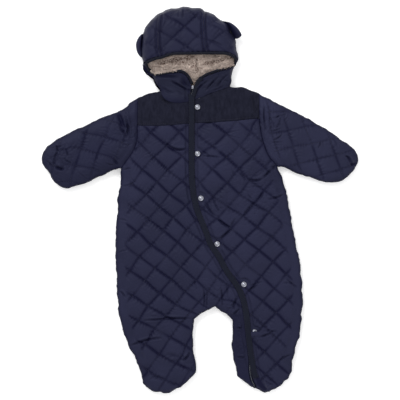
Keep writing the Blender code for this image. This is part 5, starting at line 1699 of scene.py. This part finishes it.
# %% [markdown]
# ## The hood's three panels and the collar fronts
#
# Two seams run over the hood, each with a row of top stitches on both sides of a narrow
# raised strip.  The collar fronts are plain and meet under the chin.

# %% Hood panels
BINDING_WIDTH = 4.5
HOOD_STRIP = 3.9         # half width of the raised strip along a hood seam
STRIP_LIFT = 0.9
CORNER_CLEAR = 1.5       # corners at the face opening stay this far inside the outline
# each seam: curve, dip (below 0 a raised strip) and painted shade; each row of top stitches: curve, dip,
# painted shade and width
HOOD_SEAMS = [(SEAM["hood_right"], -STRIP_LIFT, 0.0), (SEAM["hood_left"], -STRIP_LIFT, 0.0),
              (SEAM["face"], SEAM_DIP, 0.6)]
HOOD_ROWS = [(side_by(SEAM["hood_" + side], offset), 1.9, 1.0, 1.9) for side in SIDES
             for offset in (-HOOD_STRIP, HOOD_STRIP)]


def face_row(start, end, side):
    """A stretch of the face opening, moved off its binding to one side, as far as it
    lies inside the outline."""
    row = side_by(between(SEAM["face"], start, end), side * (0.5 * BINDING_WIDTH + HALF_GAP))
    return row[edge_distance(row) > CORNER_CLEAR]


def hood_height(points):
    """Outer face of the hood's panels, and its painted shade there."""
    return front_height(points, "hood", HOOD_SEAMS, HOOD_ROWS)


seam_right, seam_left = SEAM["hood_right"], SEAM["hood_left"]
TEMPLE_RIGHT, TEMPLE_LEFT = (-90.9, 315.9), (48.6, 315.9)
upper_out = face_row(FACE_RIGHT_CORNER, FACE_LEFT_CORNER, 1)
hood_top = between(hood_edge, seam_right[0], seam_left[0])
hood_brow = between(upper_out, seam_right[-1], seam_left[-1])
hood_grids = {
    "hood_centre": coons(hood_top, hood_brow, seam_right, seam_left),
    "hood_side_right": coons(
        between(hood_edge, TEMPLE_RIGHT, seam_right[0]),
        between(upper_out, upper_out[0], seam_right[-1]),
        between(hood_edge, TEMPLE_RIGHT, upper_out[0]), seam_right),
    "hood_side_left": coons(
        between(hood_edge, seam_left[0], TEMPLE_LEFT),
        between(upper_out, seam_left[-1], upper_out[-1]),
        seam_left, between(hood_edge, TEMPLE_LEFT, upper_out[-1])),
}
for node, grid in hood_grids.items():
    panel("quilted_" + node, [grid], hood_height, PAINTED_SHADE_HOOD_NAVY, node)

# %% Collar fronts
def collar_height(side, at_neck, at_face):
    """Height of a collar front, with painted shade where it bends down into its neck seam
    and painted shadow under the fleece and binding of the face opening."""
    def height(points):
        z, marks = front_height(points, "plain", neck_seams[side] + [(SEAM["face"], SEAM_DIP, 0.95)])
        for line, amount, reach in ((SEAM["neck_" + side], at_neck, 11.0),
                                    (SEAM["face"], at_face, 7.5)):
            marks = np.maximum(marks, amount * close_to(points, line[::3], reach))
        return z, marks

    return height


lower_right = face_row(FACE_RIGHT_CORNER, FACE_EDGE[0], -1)
lower_left = face_row(FACE_EDGE[-1], FACE_LEFT_CORNER, -1)
chin_right = zip_side(-1, ZIP_TOP_Y, NECK_SEAM_RIGHT[-1][1])
chin_left = zip_side(1, ZIP_TOP_Y, NECK_SEAM_LEFT[0][1])
right_collar = coons(join(lower_right, chin_right[:1]), SEAM["neck_right"],
                     between(hood_edge, lower_right[0], NECK_RIGHT), chin_right)
left_collar = coons(join(chin_left[:1], lower_left), SEAM["neck_left"],
                    chin_left, between(hood_edge, lower_left[-1], NECK_LEFT))
# painted shade at the neck seam and painted shadow under the face opening, for each side
for side, grid, at_neck, at_face in (("right", right_collar, 0.6, 0.85), ("left", left_collar, 0.3, 0.55)):
    panel("collar_front_" + side, [grid], collar_height(side, at_neck, at_face),
          PAINTED_SHADE_COLLAR, "collar_" + side)

# %% [markdown]
# ## The sherpa lining
#
# Sherpa is knitted and then teased into curls, so its surface is a heap of soft clumps.  A
# noise bump alone stays flat at the bound edge.  Here the clumps are in the mesh: each is a
# little dome around a scattered centre, and loose curls of pile stand on top of it.

# %% Lining surface
LINING_INSET = 6.0       # the lining ends this far inside the hood's edge
LINING_TOP = 24.0
LINING_CLEAR = 3.4       # and stays this far under the hood's inner face
SEAT = 0.5               # gap between a piece and what it lies on
LINING_SEAT = 1.4        # the same under the binding, above the clumps
CLUMP = 3.4              # spacing of the clumps
CLUMP_HEIGHT = 2.0
CLUMP_SQUARES = 128      # the scattered centres repeat after so many squares
LINING_GRID = 0.8        # spacing of its points
# hollows in the fleece, sunk into it and given painted shade: one end, other end, bow, half width, depth
LINING_FOLDS = (
    (-76, 243, -20, 255, 2, 5.0, 3.4),
    (-56, 244, -24, 247, 1, 6.0, 1.8),
    (-8, 255, -5, 227, 1, 4.4, 3.2),
    (-22, 247, -10, 238, 1, 6.0, 1.4),
    (4, 244, 58, 258, -2, 4.6, 2.8),
    (12, 240, 30, 246, -1, 5.0, 1.4),
    (-86, 240, -66, 236, 1, 3.0, 1.0),
)
# painted shade along stretches of the pile, and painted light where shade is below 0: one end, other end,
# half width, shade
FLEECE_SHADES = (
    (-95, 237, -38, 238, 6, -0.42),
    (2, 229, 54, 248, 5, -0.36),
    (-14, 250, -8, 230, 10, 0.4),
    (-62, 246, -20, 252, 6, 0.3),
    (8, 246, 56, 257, 4, 0.3),
)
upper_face = between(SEAM["face"], FACE_RIGHT_CORNER, FACE_LEFT_CORNER)


def lining_level(points):
    """Sherpa without its clumps: level in the face opening, under the panels beyond."""
    floor = back_inner(points) + SEAT + 0.5 * RIM
    level_there = np.minimum(LINING_TOP, hood_inner(points) - LINING_CLEAR)
    return np.maximum(floor, level_there) - crease_drop(points, LINING_FOLDS)


def clumps(points, spacing, seed):
    """Domes about scattered centres: one centre in each square of a grid, moved by a
    seeded draw; the height falls with the square of the distance to the nearest."""
    draw = np.random.default_rng(seed)
    shift = draw.uniform(0.1, 0.9, (CLUMP_SQUARES, CLUMP_SQUARES, 2))
    lift = draw.uniform(0.55, 1.0, (CLUMP_SQUARES, CLUMP_SQUARES))
    cell = np.floor(points / spacing).astype(int)
    best = np.full(len(points), -1.0)
    for dx in (-1, 0, 1):
        for dy in (-1, 0, 1):
            near = cell + (dx, dy)
            i, j = (near % CLUMP_SQUARES).T
            off = points / spacing - near - shift[i, j]
            best = np.maximum(best, lift[i, j] - (off ** 2).sum(axis=1))
    return np.clip(best, 0.0, 1.0)


def sherpa_height(points):
    """Lining level with clumps, and the painted shade of the pile."""
    heap = 0.7 * clumps(points, CLUMP, 61) + 0.3 * clumps(points + 1.3, 0.45 * CLUMP, 62)
    drop = np.clip(crease_drop(points, LINING_FOLDS) / 2.6, 0.0, 1.0)
    # painted shadow under the hood's edge, and a random unevenness of tone
    painted_hood_shadow = close_to(points, upper_face[::3], 7.0)
    shade = painted_hood_shadow * (0.3 + 0.3 * ripple(points, 15.0, 63)) + 0.22 * ripple(points, 11.0, 64)
    for x1, y1, x2, y2, half_width, amount in FLEECE_SHADES:
        stretch = np.array([(x1, y1), (x2, y2)], dtype=float)
        shade += amount * close_to(points, stretch, half_width)
    z = lining_level(points) + CLUMP_HEIGHT * (heap - 0.75)
    # painted shade: darker between the clumps and in the folds, lighter on the clumps' tops
    return z, np.clip(0.60 - 0.9 * heap + 2.0 * drop + shade, -0.4, 1.4)


lining_edge = side_by(hood_edge, LINING_INSET)
clear = distance(lining_edge, SEAM["neck_left"]) > LINING_INSET
lining_edge = lining_edge[clear & (lining_edge[:, 1] > NECK_RIGHT[1] + 2.0)]
hem = smooth_path(LINING_HEM)
lining_grid = coons(between(lining_edge, CROWN_RIGHT, CROWN_LEFT), hem,
                    join(between(lining_edge, CROWN_RIGHT, lining_edge[-1]), hem[:1]),
                    join(between(lining_edge, CROWN_LEFT, lining_edge[0]), hem[-1:]), LINING_GRID)
panel("sherpa_lining", [lining_grid], sherpa_height, FLEECE, "hood_lining",
      lambda p: back_inner(p) + SEAT)

# %% [markdown]
# ### Loose curls of pile
#
# A curl is a bent hair-thick tube: a profile carried along a small arc.  All curls are
# worked out at once, as an array of arcs by an array of ring points.

# %% Curls
CURLS = 2600             # curls within the face opening
EDGE_CURLS = 240         # these hang over the lower edge of the opening
HANG_BACK = 1.9          # but leave the lower half of its binding free
CURL_RADIUS = 1.3        # of the arc
CURL_THICK = 0.28        # radius of the fibre bundle
CURL_RINGS = 6
CURL_SIDES = 4
CURL_TAPER = np.array([0.5, 0.9, 1.0, 1.0, 0.9, 0.5])
UPRIGHT = (0.0, 0.0, 1.0)
TILTED = (0.13, 0.21, 0.97)
# corners of the box that the curls are scattered in
CURL_BOX = ((-98.0, 209.0), (64.0, 264.0))
# stretches of the opening's lower edge that have hanging curls
HANGING = (((-87.0, 230.0), FACE_EDGE[3]), (FACE_EDGE[17], (60.0, 242.0)))


def tubes(centre_lines, up, radii):
    """Square-sided tubes along many short lines at once, closed at their ends by their
    last ring's four points drawn together.  centre_lines is (tubes, rings, 3), and up is
    any direction that isn't along them.  The faces look inwards."""
    count, rings = centre_lines.shape[:2]
    run = np.gradient(centre_lines, axis=1)
    run /= np.maximum(np.linalg.norm(run, axis=2, keepdims=True), 1e-9)
    side = np.cross(run, up)
    side /= np.maximum(np.linalg.norm(side, axis=2, keepdims=True), 1e-9)
    over = np.cross(side, run)
    turn = np.arange(CURL_SIDES) * 2 * np.pi / CURL_SIDES
    ring = (side[:, :, None] * np.cos(turn)[:, None] + over[:, :, None] * np.sin(turn)[:, None])
    verts = centre_lines[:, :, None] + ring * radii[None, :, None, None]
    number = np.arange(count * rings * CURL_SIDES).reshape(count, rings, CURL_SIDES)
    after = np.roll(number, -1, axis=2)
    walls = np.stack([number[:, :-1], after[:, :-1], after[:, 1:], number[:, 1:]], axis=-1)
    caps = np.vstack([number[:, 0, ::-1], number[:, -1]])
    return verts.reshape(-1, 3), np.vstack([walls.reshape(-1, 4), caps])


draw = np.random.default_rng(71)
spots = draw.uniform(*CURL_BOX, (6 * CURLS, 2))
spots = spots[inside(spots, SEAM["face"]) & (distance(spots, SEAM["face"]) > 1.0)][:CURLS]
hanging = join(*[between(SEAM["face"], *stretch) for stretch in HANGING])
hanging = hanging[draw.integers(0, len(hanging), EDGE_CURLS)] + draw.normal(0.0, 1.1, (EDGE_CURLS, 2))
hanging[:, 1] += HANG_BACK
spots = np.vstack([spots, hanging])
heading = draw.uniform(0.0, 2 * np.pi, len(spots))
size = CURL_RADIUS * draw.uniform(0.6, 1.25, len(spots))
swing = np.linspace(-0.2, np.pi + 0.2, CURL_RINGS)
across = np.cos(swing)[None] * size[:, None]
lift = np.sin(swing)[None] * size[:, None] * 0.9
bend = 0.6 * size[:, None] * np.sin(2 * swing)[None]
ground = sherpa_height(spots)[0]
ground[-EDGE_CURLS:] = plain_top(spots[-EDGE_CURLS:]) + draw.uniform(-1.5, 0.6, EDGE_CURLS)
lines = np.stack([
    spots[:, :1] + across * np.cos(heading)[:, None] - bend * np.sin(heading)[:, None],
    spots[:, 1:] + across * np.sin(heading)[:, None] + bend * np.cos(heading)[:, None],
    ground[:, None] + lift - 0.25,
], axis=-1)
verts, faces = tubes(lines, TILTED, CURL_THICK * CURL_TAPER)
piece("sherpa_curls", verts, faces, FLEECE, (), np.full(len(verts), 0.05))

# %% [markdown]
# ## Binding, tape and zip
#
# These are profiles carried along a path.  The profile is a superellipse, which is a box
# with round corners when its power is high and a round cord when it is 2.

# %% Carried profiles
PROFILE_SIDES = 20       # points round a profile


def ring_faces(rings, sides, over=False):
    """Quads between rings of points that are numbered one ring after another, then a
    face on both ends.  They face outwards where the rings turn anticlockwise as seen
    from the last one, and over turns them round for rings that turn the other way."""
    number = np.arange(rings * sides).reshape(rings, sides)
    after = np.roll(number, -1, axis=1)
    walls = np.stack([number[:-1], after[:-1], after[1:], number[1:]], axis=-1).reshape(-1, 4)
    ends = [number[0, ::-1].tolist(), number[-1].tolist()]
    if over:
        return walls[:, [0, 3, 2, 1]].tolist() + [end[::-1] for end in ends]
    return walls.tolist() + ends


def rounded(t, power):
    """Sine or cosine of a superellipse: its size to the power of 2 / power."""
    return np.sign(t) * np.abs(t) ** (2 / power)


def carried(path, half_width, bottom, top, power=3.5, uneven=0.0):
    """Superellipse profile along a plan path: its width lies across the path and its
    height runs from bottom to top; both ends are closed with a face.  The faces look
    inwards, which doesn't show where both sides of a face are drawn."""
    turn = np.arange(PROFILE_SIDES) * 2 * np.pi / PROFILE_SIDES
    across, upward = rounded(np.cos(turn), power), rounded(np.sin(turn), power)
    width = half_width * (1.0 + uneven * ripple(path, 9.0, 81))[:, None]
    plan = path[:, None] + leftward(path)[:, None] * (width * across[None])[..., None]
    middle, half = 0.5 * (bottom + top), 0.5 * (top - bottom) * (1.0 + uneven * ripple(path, 7.0, 82))
    z = middle[:, None] + half[:, None] * upward[None]
    verts = np.concatenate([plan, z[..., None]], axis=-1).reshape(-1, 3)
    return verts, ring_faces(len(path), PROFILE_SIDES, over=True)


# %% Binding and tape
FLAP_EDGE = ((-12.0, 186.0), (-10.4, 193.0), (-8.0, 200.0), (-6.0, 207.0), (-2.5, 213.5), (3.0, 219.0))
FLAP_WIDTH = 7.0
TAPE_STATIONS = 420


def bed_level(points):
    """Level on which tape and snaps lie."""
    return np.maximum(plain_top(points) - PAD, FRONT_SEAM_LEVEL + RIM)


face_path = SEAM["face"]
verts, faces = carried(face_path, 0.5 * BINDING_WIDTH, lining_level(face_path) + LINING_SEAT,
                       plain_top(face_path) - 0.3, 2.6, 0.05)
piece("face_binding", verts, faces, BINDING, ["hood_binding"])

levels = np.linspace(TAPE_TOP_Y, TAPE_END_Y, TAPE_STATIONS)
tape_path = np.column_stack([opening_x(TAPE_CURVE, levels)[0], levels])
tape_wave = 0.35 * ripple(tape_path, 24.0, 83)
verts, faces = carried(tape_path, 0.49 * TAPE_WIDTH, bed_level(tape_path) + SEAT,
                       bed_level(tape_path) + SEAT + TAPE_THICK + tape_wave, 4.5, 0.03)
piece("placket_grosgrain", verts, faces, TAPE, ["placket_tape"])

flap_path = smooth_path(FLAP_EDGE)
flap_top = plain_top(flap_path)
verts, faces = carried(flap_path, 0.5 * FLAP_WIDTH, flap_top - 4.2, flap_top - 0.7, 3.0, 0.05)
piece("flap_binding", verts, faces, BINDING)

# %% Zip tape and teeth
ZIP_STATIONS = 400
ZIP_THICK = 1.4
TOOTH_PITCH = 1.5
TOOTH_LENGTH = 1.5
TOOTH_RADIUS = 0.34
TOOTH_SHIFT = 0.35       # every second tooth stands to the other side
TOOTH_TAPER = np.array([0.6, 1.0, 1.0, 0.6])


def zip_level(points):
    """Upper face of the zip, sunk between the fronts."""
    return np.maximum(bed_level(points) - 1.6, front_inner(points) + 0.8)


levels = np.linspace(ZIP_TOP_Y - SEAT, ZIP_END[1] + 3.0, ZIP_STATIONS)
zip_path = np.column_stack([opening_x(ZIP_CURVE, levels)[0], levels])
zip_top = zip_level(zip_path)
verts, faces = carried(zip_path, 0.5 * ZIP_WIDTH, zip_top - ZIP_THICK, zip_top, 5.0)
piece("zip_tape", verts, faces, ZIP_TAPE, ["zip"])

tooth_path = stops(zip_path[2:-1], int((ZIP_TOP_Y - ZIP_END[1]) / TOOTH_PITCH))
across = leftward(tooth_path)
shift = np.where(np.arange(len(tooth_path)) % 2 == 0, TOOTH_SHIFT, -TOOTH_SHIFT)[:, None]
middle = tooth_path + across * shift
ends = np.linspace(-0.5, 0.5, len(TOOTH_TAPER)) * TOOTH_LENGTH
plan = middle[:, None] + across[:, None] * ends[None, :, None]
height = zip_level(tooth_path)[:, None] + 0.32 + 0 * ends[None]
lines = np.concatenate([plan, height[..., None]], axis=-1)
verts, faces = tubes(lines, UPRIGHT, TOOTH_RADIUS * TOOTH_TAPER)
piece("zip_teeth", verts, faces, TEETH)

# %% Slider
def pillow(centre, sizes, turn, power, rows=13, columns=24):
    """Superellipsoid: every section is a box with round corners, closed at both poles."""
    a = np.linspace(-0.5 * np.pi, 0.5 * np.pi, rows)[1:-1]
    b = np.arange(columns) * 2 * np.pi / columns
    x = rounded(np.cos(a), power)[:, None] * rounded(np.cos(b), power)[None]
    y = rounded(np.cos(a), power)[:, None] * rounded(np.sin(b), power)[None]
    z = rounded(np.sin(a), power)[:, None] + 0 * b[None]
    c, s = np.cos(turn), np.sin(turn)
    local = np.stack([x * sizes[0], y * sizes[1], z * sizes[2]], axis=-1) * 0.5
    verts = np.stack([local[..., 0] * c - local[..., 1] * s, local[..., 0] * s + local[..., 1] * c,
                      local[..., 2]], axis=-1) + centre
    return verts.reshape(-1, 3), ring_faces(len(a), columns)


SLIDER_WIDTH, SLIDER_LENGTH, SLIDER_HEIGHT = 3.6, 6.2, 3.0
slider_y = ZIP_TOP_Y - 0.5 * SLIDER_LENGTH - SEAT
slider_x, slope = opening_x(ZIP_CURVE, slider_y)
seat_level = zip_level(np.array([[slider_x, slider_y + 0.5 * SLIDER_LENGTH]]))[0] + SEAT + 0.5
lower = pillow((slider_x, slider_y, seat_level + 0.3 * SLIDER_HEIGHT),
               (SLIDER_WIDTH, SLIDER_LENGTH, 0.6 * SLIDER_HEIGHT), -np.arctan(slope), 5.0)
bridge = pillow((slider_x, slider_y + 0.6, seat_level + 0.75 * SLIDER_HEIGHT),
                (1.3, 3.8, 0.5 * SLIDER_HEIGHT), -np.arctan(slope), 3.0)
verts = np.vstack([lower[0], bridge[0]])
faces = lower[1] + [[v + len(lower[0]) for v in face] for face in bridge[1]]
piece("zip_slider_body", verts, faces, NICKEL, ["zip_slider"])

# %% [markdown]
# ## Press snaps
#
# A cap is turned: one profile, spun about its axis.  It has a rolled rim, a groove and a
# low dome, and the rim catches the light as a bright ring.

# %% Snaps
CAP_SIDES = 48
# radius, height
CAP_PROFILE = (
    (4.8, 0.0), (4.9, 0.45), (4.9, 1.15), (4.75, 1.7), (4.45, 2.05), (4.1, 2.1), (3.75, 1.85),
    (3.55, 1.55), (3.3, 1.6), (2.95, 2.0), (2.3, 2.42), (1.5, 2.72), (0.7, 2.87), (0.15, 2.9),
)


def turned(profile, sides, centre):
    """A profile spun about z; the first and last rings are closed with a face."""
    radius, height = np.array(profile).T
    turn = np.arange(sides) * 2 * np.pi / sides
    verts = np.stack([radius[:, None] * np.cos(turn), radius[:, None] * np.sin(turn),
                      height[:, None] + 0 * turn], axis=-1) + centre
    return verts.reshape(-1, 3), ring_faces(len(radius), sides)


for count, (x, y) in enumerate(SNAPS, start=1):
    seat = bed_level(np.array([[x, y]]))[0] + 2 * HALF_GAP
    verts, faces = turned(CAP_PROFILE, CAP_SIDES, (x, y, seat))
    piece(f"snap_cap_{count}", verts, faces, NICKEL, [f"snap_{count}"])

# %% [markdown]
# ## Ears
#
# Each ear is a small padded half-moon, sewn along the hood's edge.  Its sections are flat
# ovals between the sewn edge and the rounded edge, and they shrink to nothing at the ends.

# %% Ears
EAR_TUCK = 1.8           # the sewn edge reaches this far under the hood's edge
EAR_SINK = 8.6           # and is drawn down by so much there
EAR_SEAM_THICK = 0.6     # half thickness at the ear's two ends
EAR_RIGHT = ((-102.6, 300.0), (-107.4, 297.0), (-113.0, 289.0), (-115.5, 279.0), (-113.5, 267.0),
             (-108.0, 258.5), (-103.5, 256.0))
EAR_LEFT = ((62.5, 290.0), (69.0, 290.5), (74.5, 295.0), (72.0, 302.0), (65.5, 310.5),
            (55.0, 318.5), (44.0, 321.5), (38.0, 322.5))
EAR_STATIONS = 64        # sections from one end of an ear to the other


def ear(name, outer, middle, rise, half_thick, shade, node):
    """Oval sections from the sewn edge to the outer edge: half width is half the run
    between them, half height swells as a sine along the ear.  It gets painted shade towards
    the sewn edge."""
    arc = stops(smooth_path(outer), EAR_STATIONS)
    base = stops(between(hood_edge, outer[0], outer[-1]), EAR_STATIONS)
    t = np.linspace(0.0, 1.0, EAR_STATIONS)
    run = arc - base
    reach = np.maximum(np.hypot(*run.T), 0.4)
    out = run / np.maximum(np.hypot(*run.T), 1e-6)[:, None]
    turn = np.arange(PROFILE_SIDES) * 2 * np.pi / PROFILE_SIDES
    across = 0.5 * (1.0 + np.cos(turn))[None] * (reach + EAR_TUCK)[:, None] - EAR_TUCK
    thick = (EAR_SEAM_THICK + half_thick * np.sin(np.pi * t) ** 0.55)[:, None]
    uneven = 1.0 + 0.06 * np.sin(9 * turn)[None] * np.sin(14 * t)[:, None]
    plan = base[:, None] + out[:, None] * across[..., None]
    tucked = EAR_SINK * (1.0 - smoothstep((across + EAR_TUCK) / 3.6))
    z = middle + rise * across - tucked + thick * np.sin(turn)[None] * uneven
    verts = np.concatenate([plan, z[..., None]], axis=-1).reshape(-1, 3)
    faces = ring_faces(EAR_STATIONS, PROFILE_SIDES, over=True)
    hollow = shade * (1.0 - smoothstep(across / (0.85 * reach[:, None])))
    return piece(name, verts, faces, PAINTED_SHADE_HOOD_NAVY, [node], hollow.reshape(-1))


ear_right = ear("padded_ear_right", EAR_RIGHT, 12.5, 0.0, 6.5, 0.8, "ear_right")
ear_left = ear("padded_ear_left", EAR_LEFT, 13.6, 0.7, 9.0, 1.1, "ear_left")

# %% [markdown]
# ## Stitches
#
# Thread shows as a row of short raised dashes, so each stitch is its own little tube with
# drawn-in ends.  They lie in the valleys that the same line numbers make in the cloth.

# %% Stitch rows
STITCH = 2.6             # length of a stitch
STITCH_PITCH = 3.4       # from one stitch to the next
THREAD_RADIUS = 0.3
THREAD_TAPER = np.array([0.35, 1.0, 1.0, 0.35])
ROW_SETTLE = 6           # rounds in which a line finds its shifted place
SNAP_CLEAR = 7.5         # no stitches show this near to a snap
OUTLINE_CLEAR = 7.0
TAPE_STITCH = 4.3        # distance of the tape's stitches from its middle


def quilt_rows(region, loop):
    """Plan points of stitches and their headings, along every quilt line in a loop."""
    low, high = loop.min(axis=0), loop.max(axis=0)
    places, headings = [], []
    for family, falls in zip(QUILTS[region], (True, False)):
        x0, _, step, _, turn = family
        corners = np.array([low, high, (low[0], high[1]), (high[0], low[1])])
        numbers = line_number(corners, family, falls)
        for number in range(int(numbers.min()) - 1, int(numbers.max()) + 2):
            tilt, start = family_line(family, number, falls)
            x = np.arange(low[0], high[0], STITCH_PITCH / np.sqrt(1 + tilt ** 2))
            straight = start + tilt * x
            even = np.column_stack([x, straight])
            for _ in range(4):
                sway = ripple(even, WANDER_WAVE, 11 if falls else 12)
                even[:, 1] = straight + WANDER * (step + (turn if falls else -turn) * (x - x0)) * sway
            line = even
            for _ in range(ROW_SETTLE):
                line = even + row_shift(line, region)
            places.append(line)
            headings.append(heading_of(line))
    places, headings = np.vstack(places), np.vstack(headings)
    keep = inside(places, loop)
    return places[keep], headings[keep]


def curve_rows(*curves):
    """Plan points of stitches and their headings, along some curves."""
    rows = [stops(curve, int(run_length(curve) / STITCH_PITCH)) for curve in curves]
    return np.vstack(rows), np.vstack([heading_of(row) for row in rows])


def stitches(name, places, headings, height, lift=0.15):
    """A tube for each stitch, tilted to lie on the cloth under its two ends."""
    ends = np.linspace(-0.5, 0.5, len(THREAD_TAPER)) * STITCH
    plan = places[:, None] + headings[:, None] * ends[None, :, None]
    z = height(plan.reshape(-1, 2)).reshape(plan.shape[:2]) + lift
    lines = np.concatenate([plan, z[..., None]], axis=-1)
    verts, faces = tubes(lines, UPRIGHT, THREAD_RADIUS * THREAD_TAPER)
    piece(name, verts, faces, THREAD)


def loop_of(*grids):
    """Border of a welded panel as a closed loop of points, in order."""
    plan, faces = weld(grids)
    rim = border(faces)
    following = dict(rim.tolist())
    start = int(rim[0, 0])
    order = [start]
    while following[order[-1]] != start:
        order.append(following[order[-1]])
    return plan[order]


def clear_of_trim(places, region):
    """Stitches that show: quilted part, inside the edge and off the tape and snaps."""
    keep = (plain_share(places, region) < 0.4) & (edge_distance(places) > OUTLINE_CLEAR)
    keep &= distance(places, TAPE_CURVE[::4]) > 0.5 * TAPE_WIDTH + 1.5
    for x, y in SNAPS:
        keep &= np.hypot(places[:, 0] - x, places[:, 1] - y) > SNAP_CLEAR
    return keep


quilted = [("front_" + side, front_grids[side], front_seams[side]) for side in SIDES]
quilted += [("sleeve_" + side, (sleeve_grids[side],), armhole_seams[side]) for side in SIDES]
for region, grids, seams in quilted:
    places, headings = quilt_rows(region, loop_of(*grids))
    keep = clear_of_trim(places, region)
    stitches("stitches_" + region, places[keep], headings[keep],
             lambda p: front_height(p, region, seams)[0])

# %% Stitches of the hood, the tape and the yokes
quilted_strip = coons(hood_top, hood_brow, side_by(seam_right, 5.0), side_by(seam_left, -5.0))
places, headings = quilt_rows("hood", loop_of(quilted_strip))
keep = edge_distance(places) > 9.0
row_places, row_headings = curve_rows(*[row for row, *_ in HOOD_ROWS])
stitches("stitches_hood", np.vstack([places[keep], row_places]),
         np.vstack([headings[keep], row_headings]), lambda p: hood_height(p)[0])

tape_rows = [side_by(tape_path, offset) for offset in (-TAPE_STITCH, TAPE_STITCH)]
stitches("stitches_tape", *curve_rows(*tape_rows), lambda p: bed_level(p) + SEAT + TAPE_THICK, 0.25)

places, headings = curve_rows(*[yoke_rows[side][0][0] for side in SIDES])
keep = distance(places, TAPE_CURVE[::4]) > 0.5 * TAPE_WIDTH + 1.0
both_seams = yoke_seams["right"] + yoke_seams["left"]
both_rows = yoke_rows["right"] + yoke_rows["left"]
stitches("stitches_yoke", places[keep], headings[keep],
         lambda p: front_height(p, "plain", both_seams, both_rows)[0])

# %% [markdown]
# ## Sheets of cloth and their cut sizes
#
# Each panel says the size it was cut to before it was sewn.  Quilting takes up cloth, so
# the cut is a few per cent larger than the panel lies.

CUTS = {
    "quilted_front_right": (0.275, 0.505, 0.09),
    "quilted_front_left": (0.215, 0.515, 0.075),
    "plain_back": (0.36, 0.58, 0.155),
    "napped_yoke_right": (0.11, 0.075, 0.0068),
    "napped_yoke_left": (0.135, 0.085, 0.0089),
    "quilted_sleeve_right": (0.205, 0.215, 0.038),
    "quilted_sleeve_left": (0.205, 0.215, 0.038),
    "plain_hood_back": (0.185, 0.175, 0.026),
    "quilted_hood_centre": (0.105, 0.115, 0.0105),
    "quilted_hood_side_right": (0.06, 0.1, 0.0043),
    "quilted_hood_side_left": (0.08, 0.1, 0.0064),
    "collar_front_right": (0.1, 0.085, 0.0056),
    "collar_front_left": (0.085, 0.07, 0.0043),
    "sherpa_lining": (0.175, 0.165, 0.0235),
}
for name, (width, length, area) in CUTS.items():
    surface = sum(face.area for face in made_pieces[name].data.polygons)
    print(name, "cut", area, "surface", round(surface, 4), "square metres")
print("sheets:", len(CUTS))

# %% [markdown]
# ## Table, light and camera
#
# The suit lies on a pale table under a broad soft light, and the camera looks straight
# down from well above, so that sleeves and hood keep their true shapes.

# %% Stage
TABLE = 6.0              # half width of the table, in metres
TABLE_Z = -0.0004
mesh = bpy.data.meshes.new("pale_table")
corners = [(-TABLE, -TABLE, TABLE_Z), (TABLE, -TABLE, TABLE_Z), (TABLE, TABLE, TABLE_Z),
           (-TABLE, TABLE, TABLE_Z)]
mesh.from_pydata(corners, [], [(0, 1, 2, 3)])
table_finish, tree, shader = new_finish(
    "pale_table", Roughness=0.9, Specular_IOR_Level=0.1, Emission_Color=(1.0, 1.0, 1.0, 1.0),
    Emission_Strength=0.3)
grain = noise(tree, place(tree), 3.0)
drive(tree, shader, Base_Color=blend_colours(tree, grain, (0.9, 0.9, 0.9), (0.93, 0.93, 0.93)))
mesh.materials.append(table_finish)
table = bpy.data.objects.new("pale_table", mesh)
bpy.context.scene.collection.objects.link(table)


def soft_light(name, place_at, size, power):
    """An area light that faces the middle of the suit."""
    lamp = bpy.data.lights.new(name, "AREA")
    lamp.shape = "DISK"
    lamp.size = size
    lamp.energy = power
    made = bpy.data.objects.new(name, lamp)
    made.location = place_at
    towards = -np.array(place_at)
    made.rotation_euler = (np.arccos(-towards[2] / np.linalg.norm(towards)), 0.0,
                           np.arctan2(towards[1], towards[0]) - 0.5 * np.pi)
    bpy.context.scene.collection.objects.link(made)


soft_light("key_light", (-0.9, 1.5, 1.9), 1.3, 34.0)
soft_light("fill_light", (1.4, -0.6, 2.2), 2.2, 9.0)
world = bpy.data.worlds.new("soft_room")
world.use_nodes = True
background = world.node_tree.nodes["Background"]
background.inputs["Color"].default_value = (1.0, 1.0, 1.0, 1.0)
background.inputs["Strength"].default_value = 0.85
bpy.context.scene.world = world
bpy.context.scene.view_settings.view_transform = "Standard"

# %% Camera
VIEW_WIDTH = 0.7185      # width of the picture on the suit, in metres
VIEW_LEVEL = 0.02        # and the level at which it is measured
CAMERA_Z = 2.6
camera_data = bpy.data.cameras.new("camera_above")
camera_data.sensor_width = 36.0
camera_data.lens = camera_data.sensor_width * (CAMERA_Z - VIEW_LEVEL) / VIEW_WIDTH
camera = bpy.data.objects.new("camera_above", camera_data)
camera.location = (0.0, 0.0, CAMERA_Z)
bpy.context.scene.collection.objects.link(camera)
bpy.context.scene.camera = camera
print("lens", round(camera_data.lens, 1), "mm")
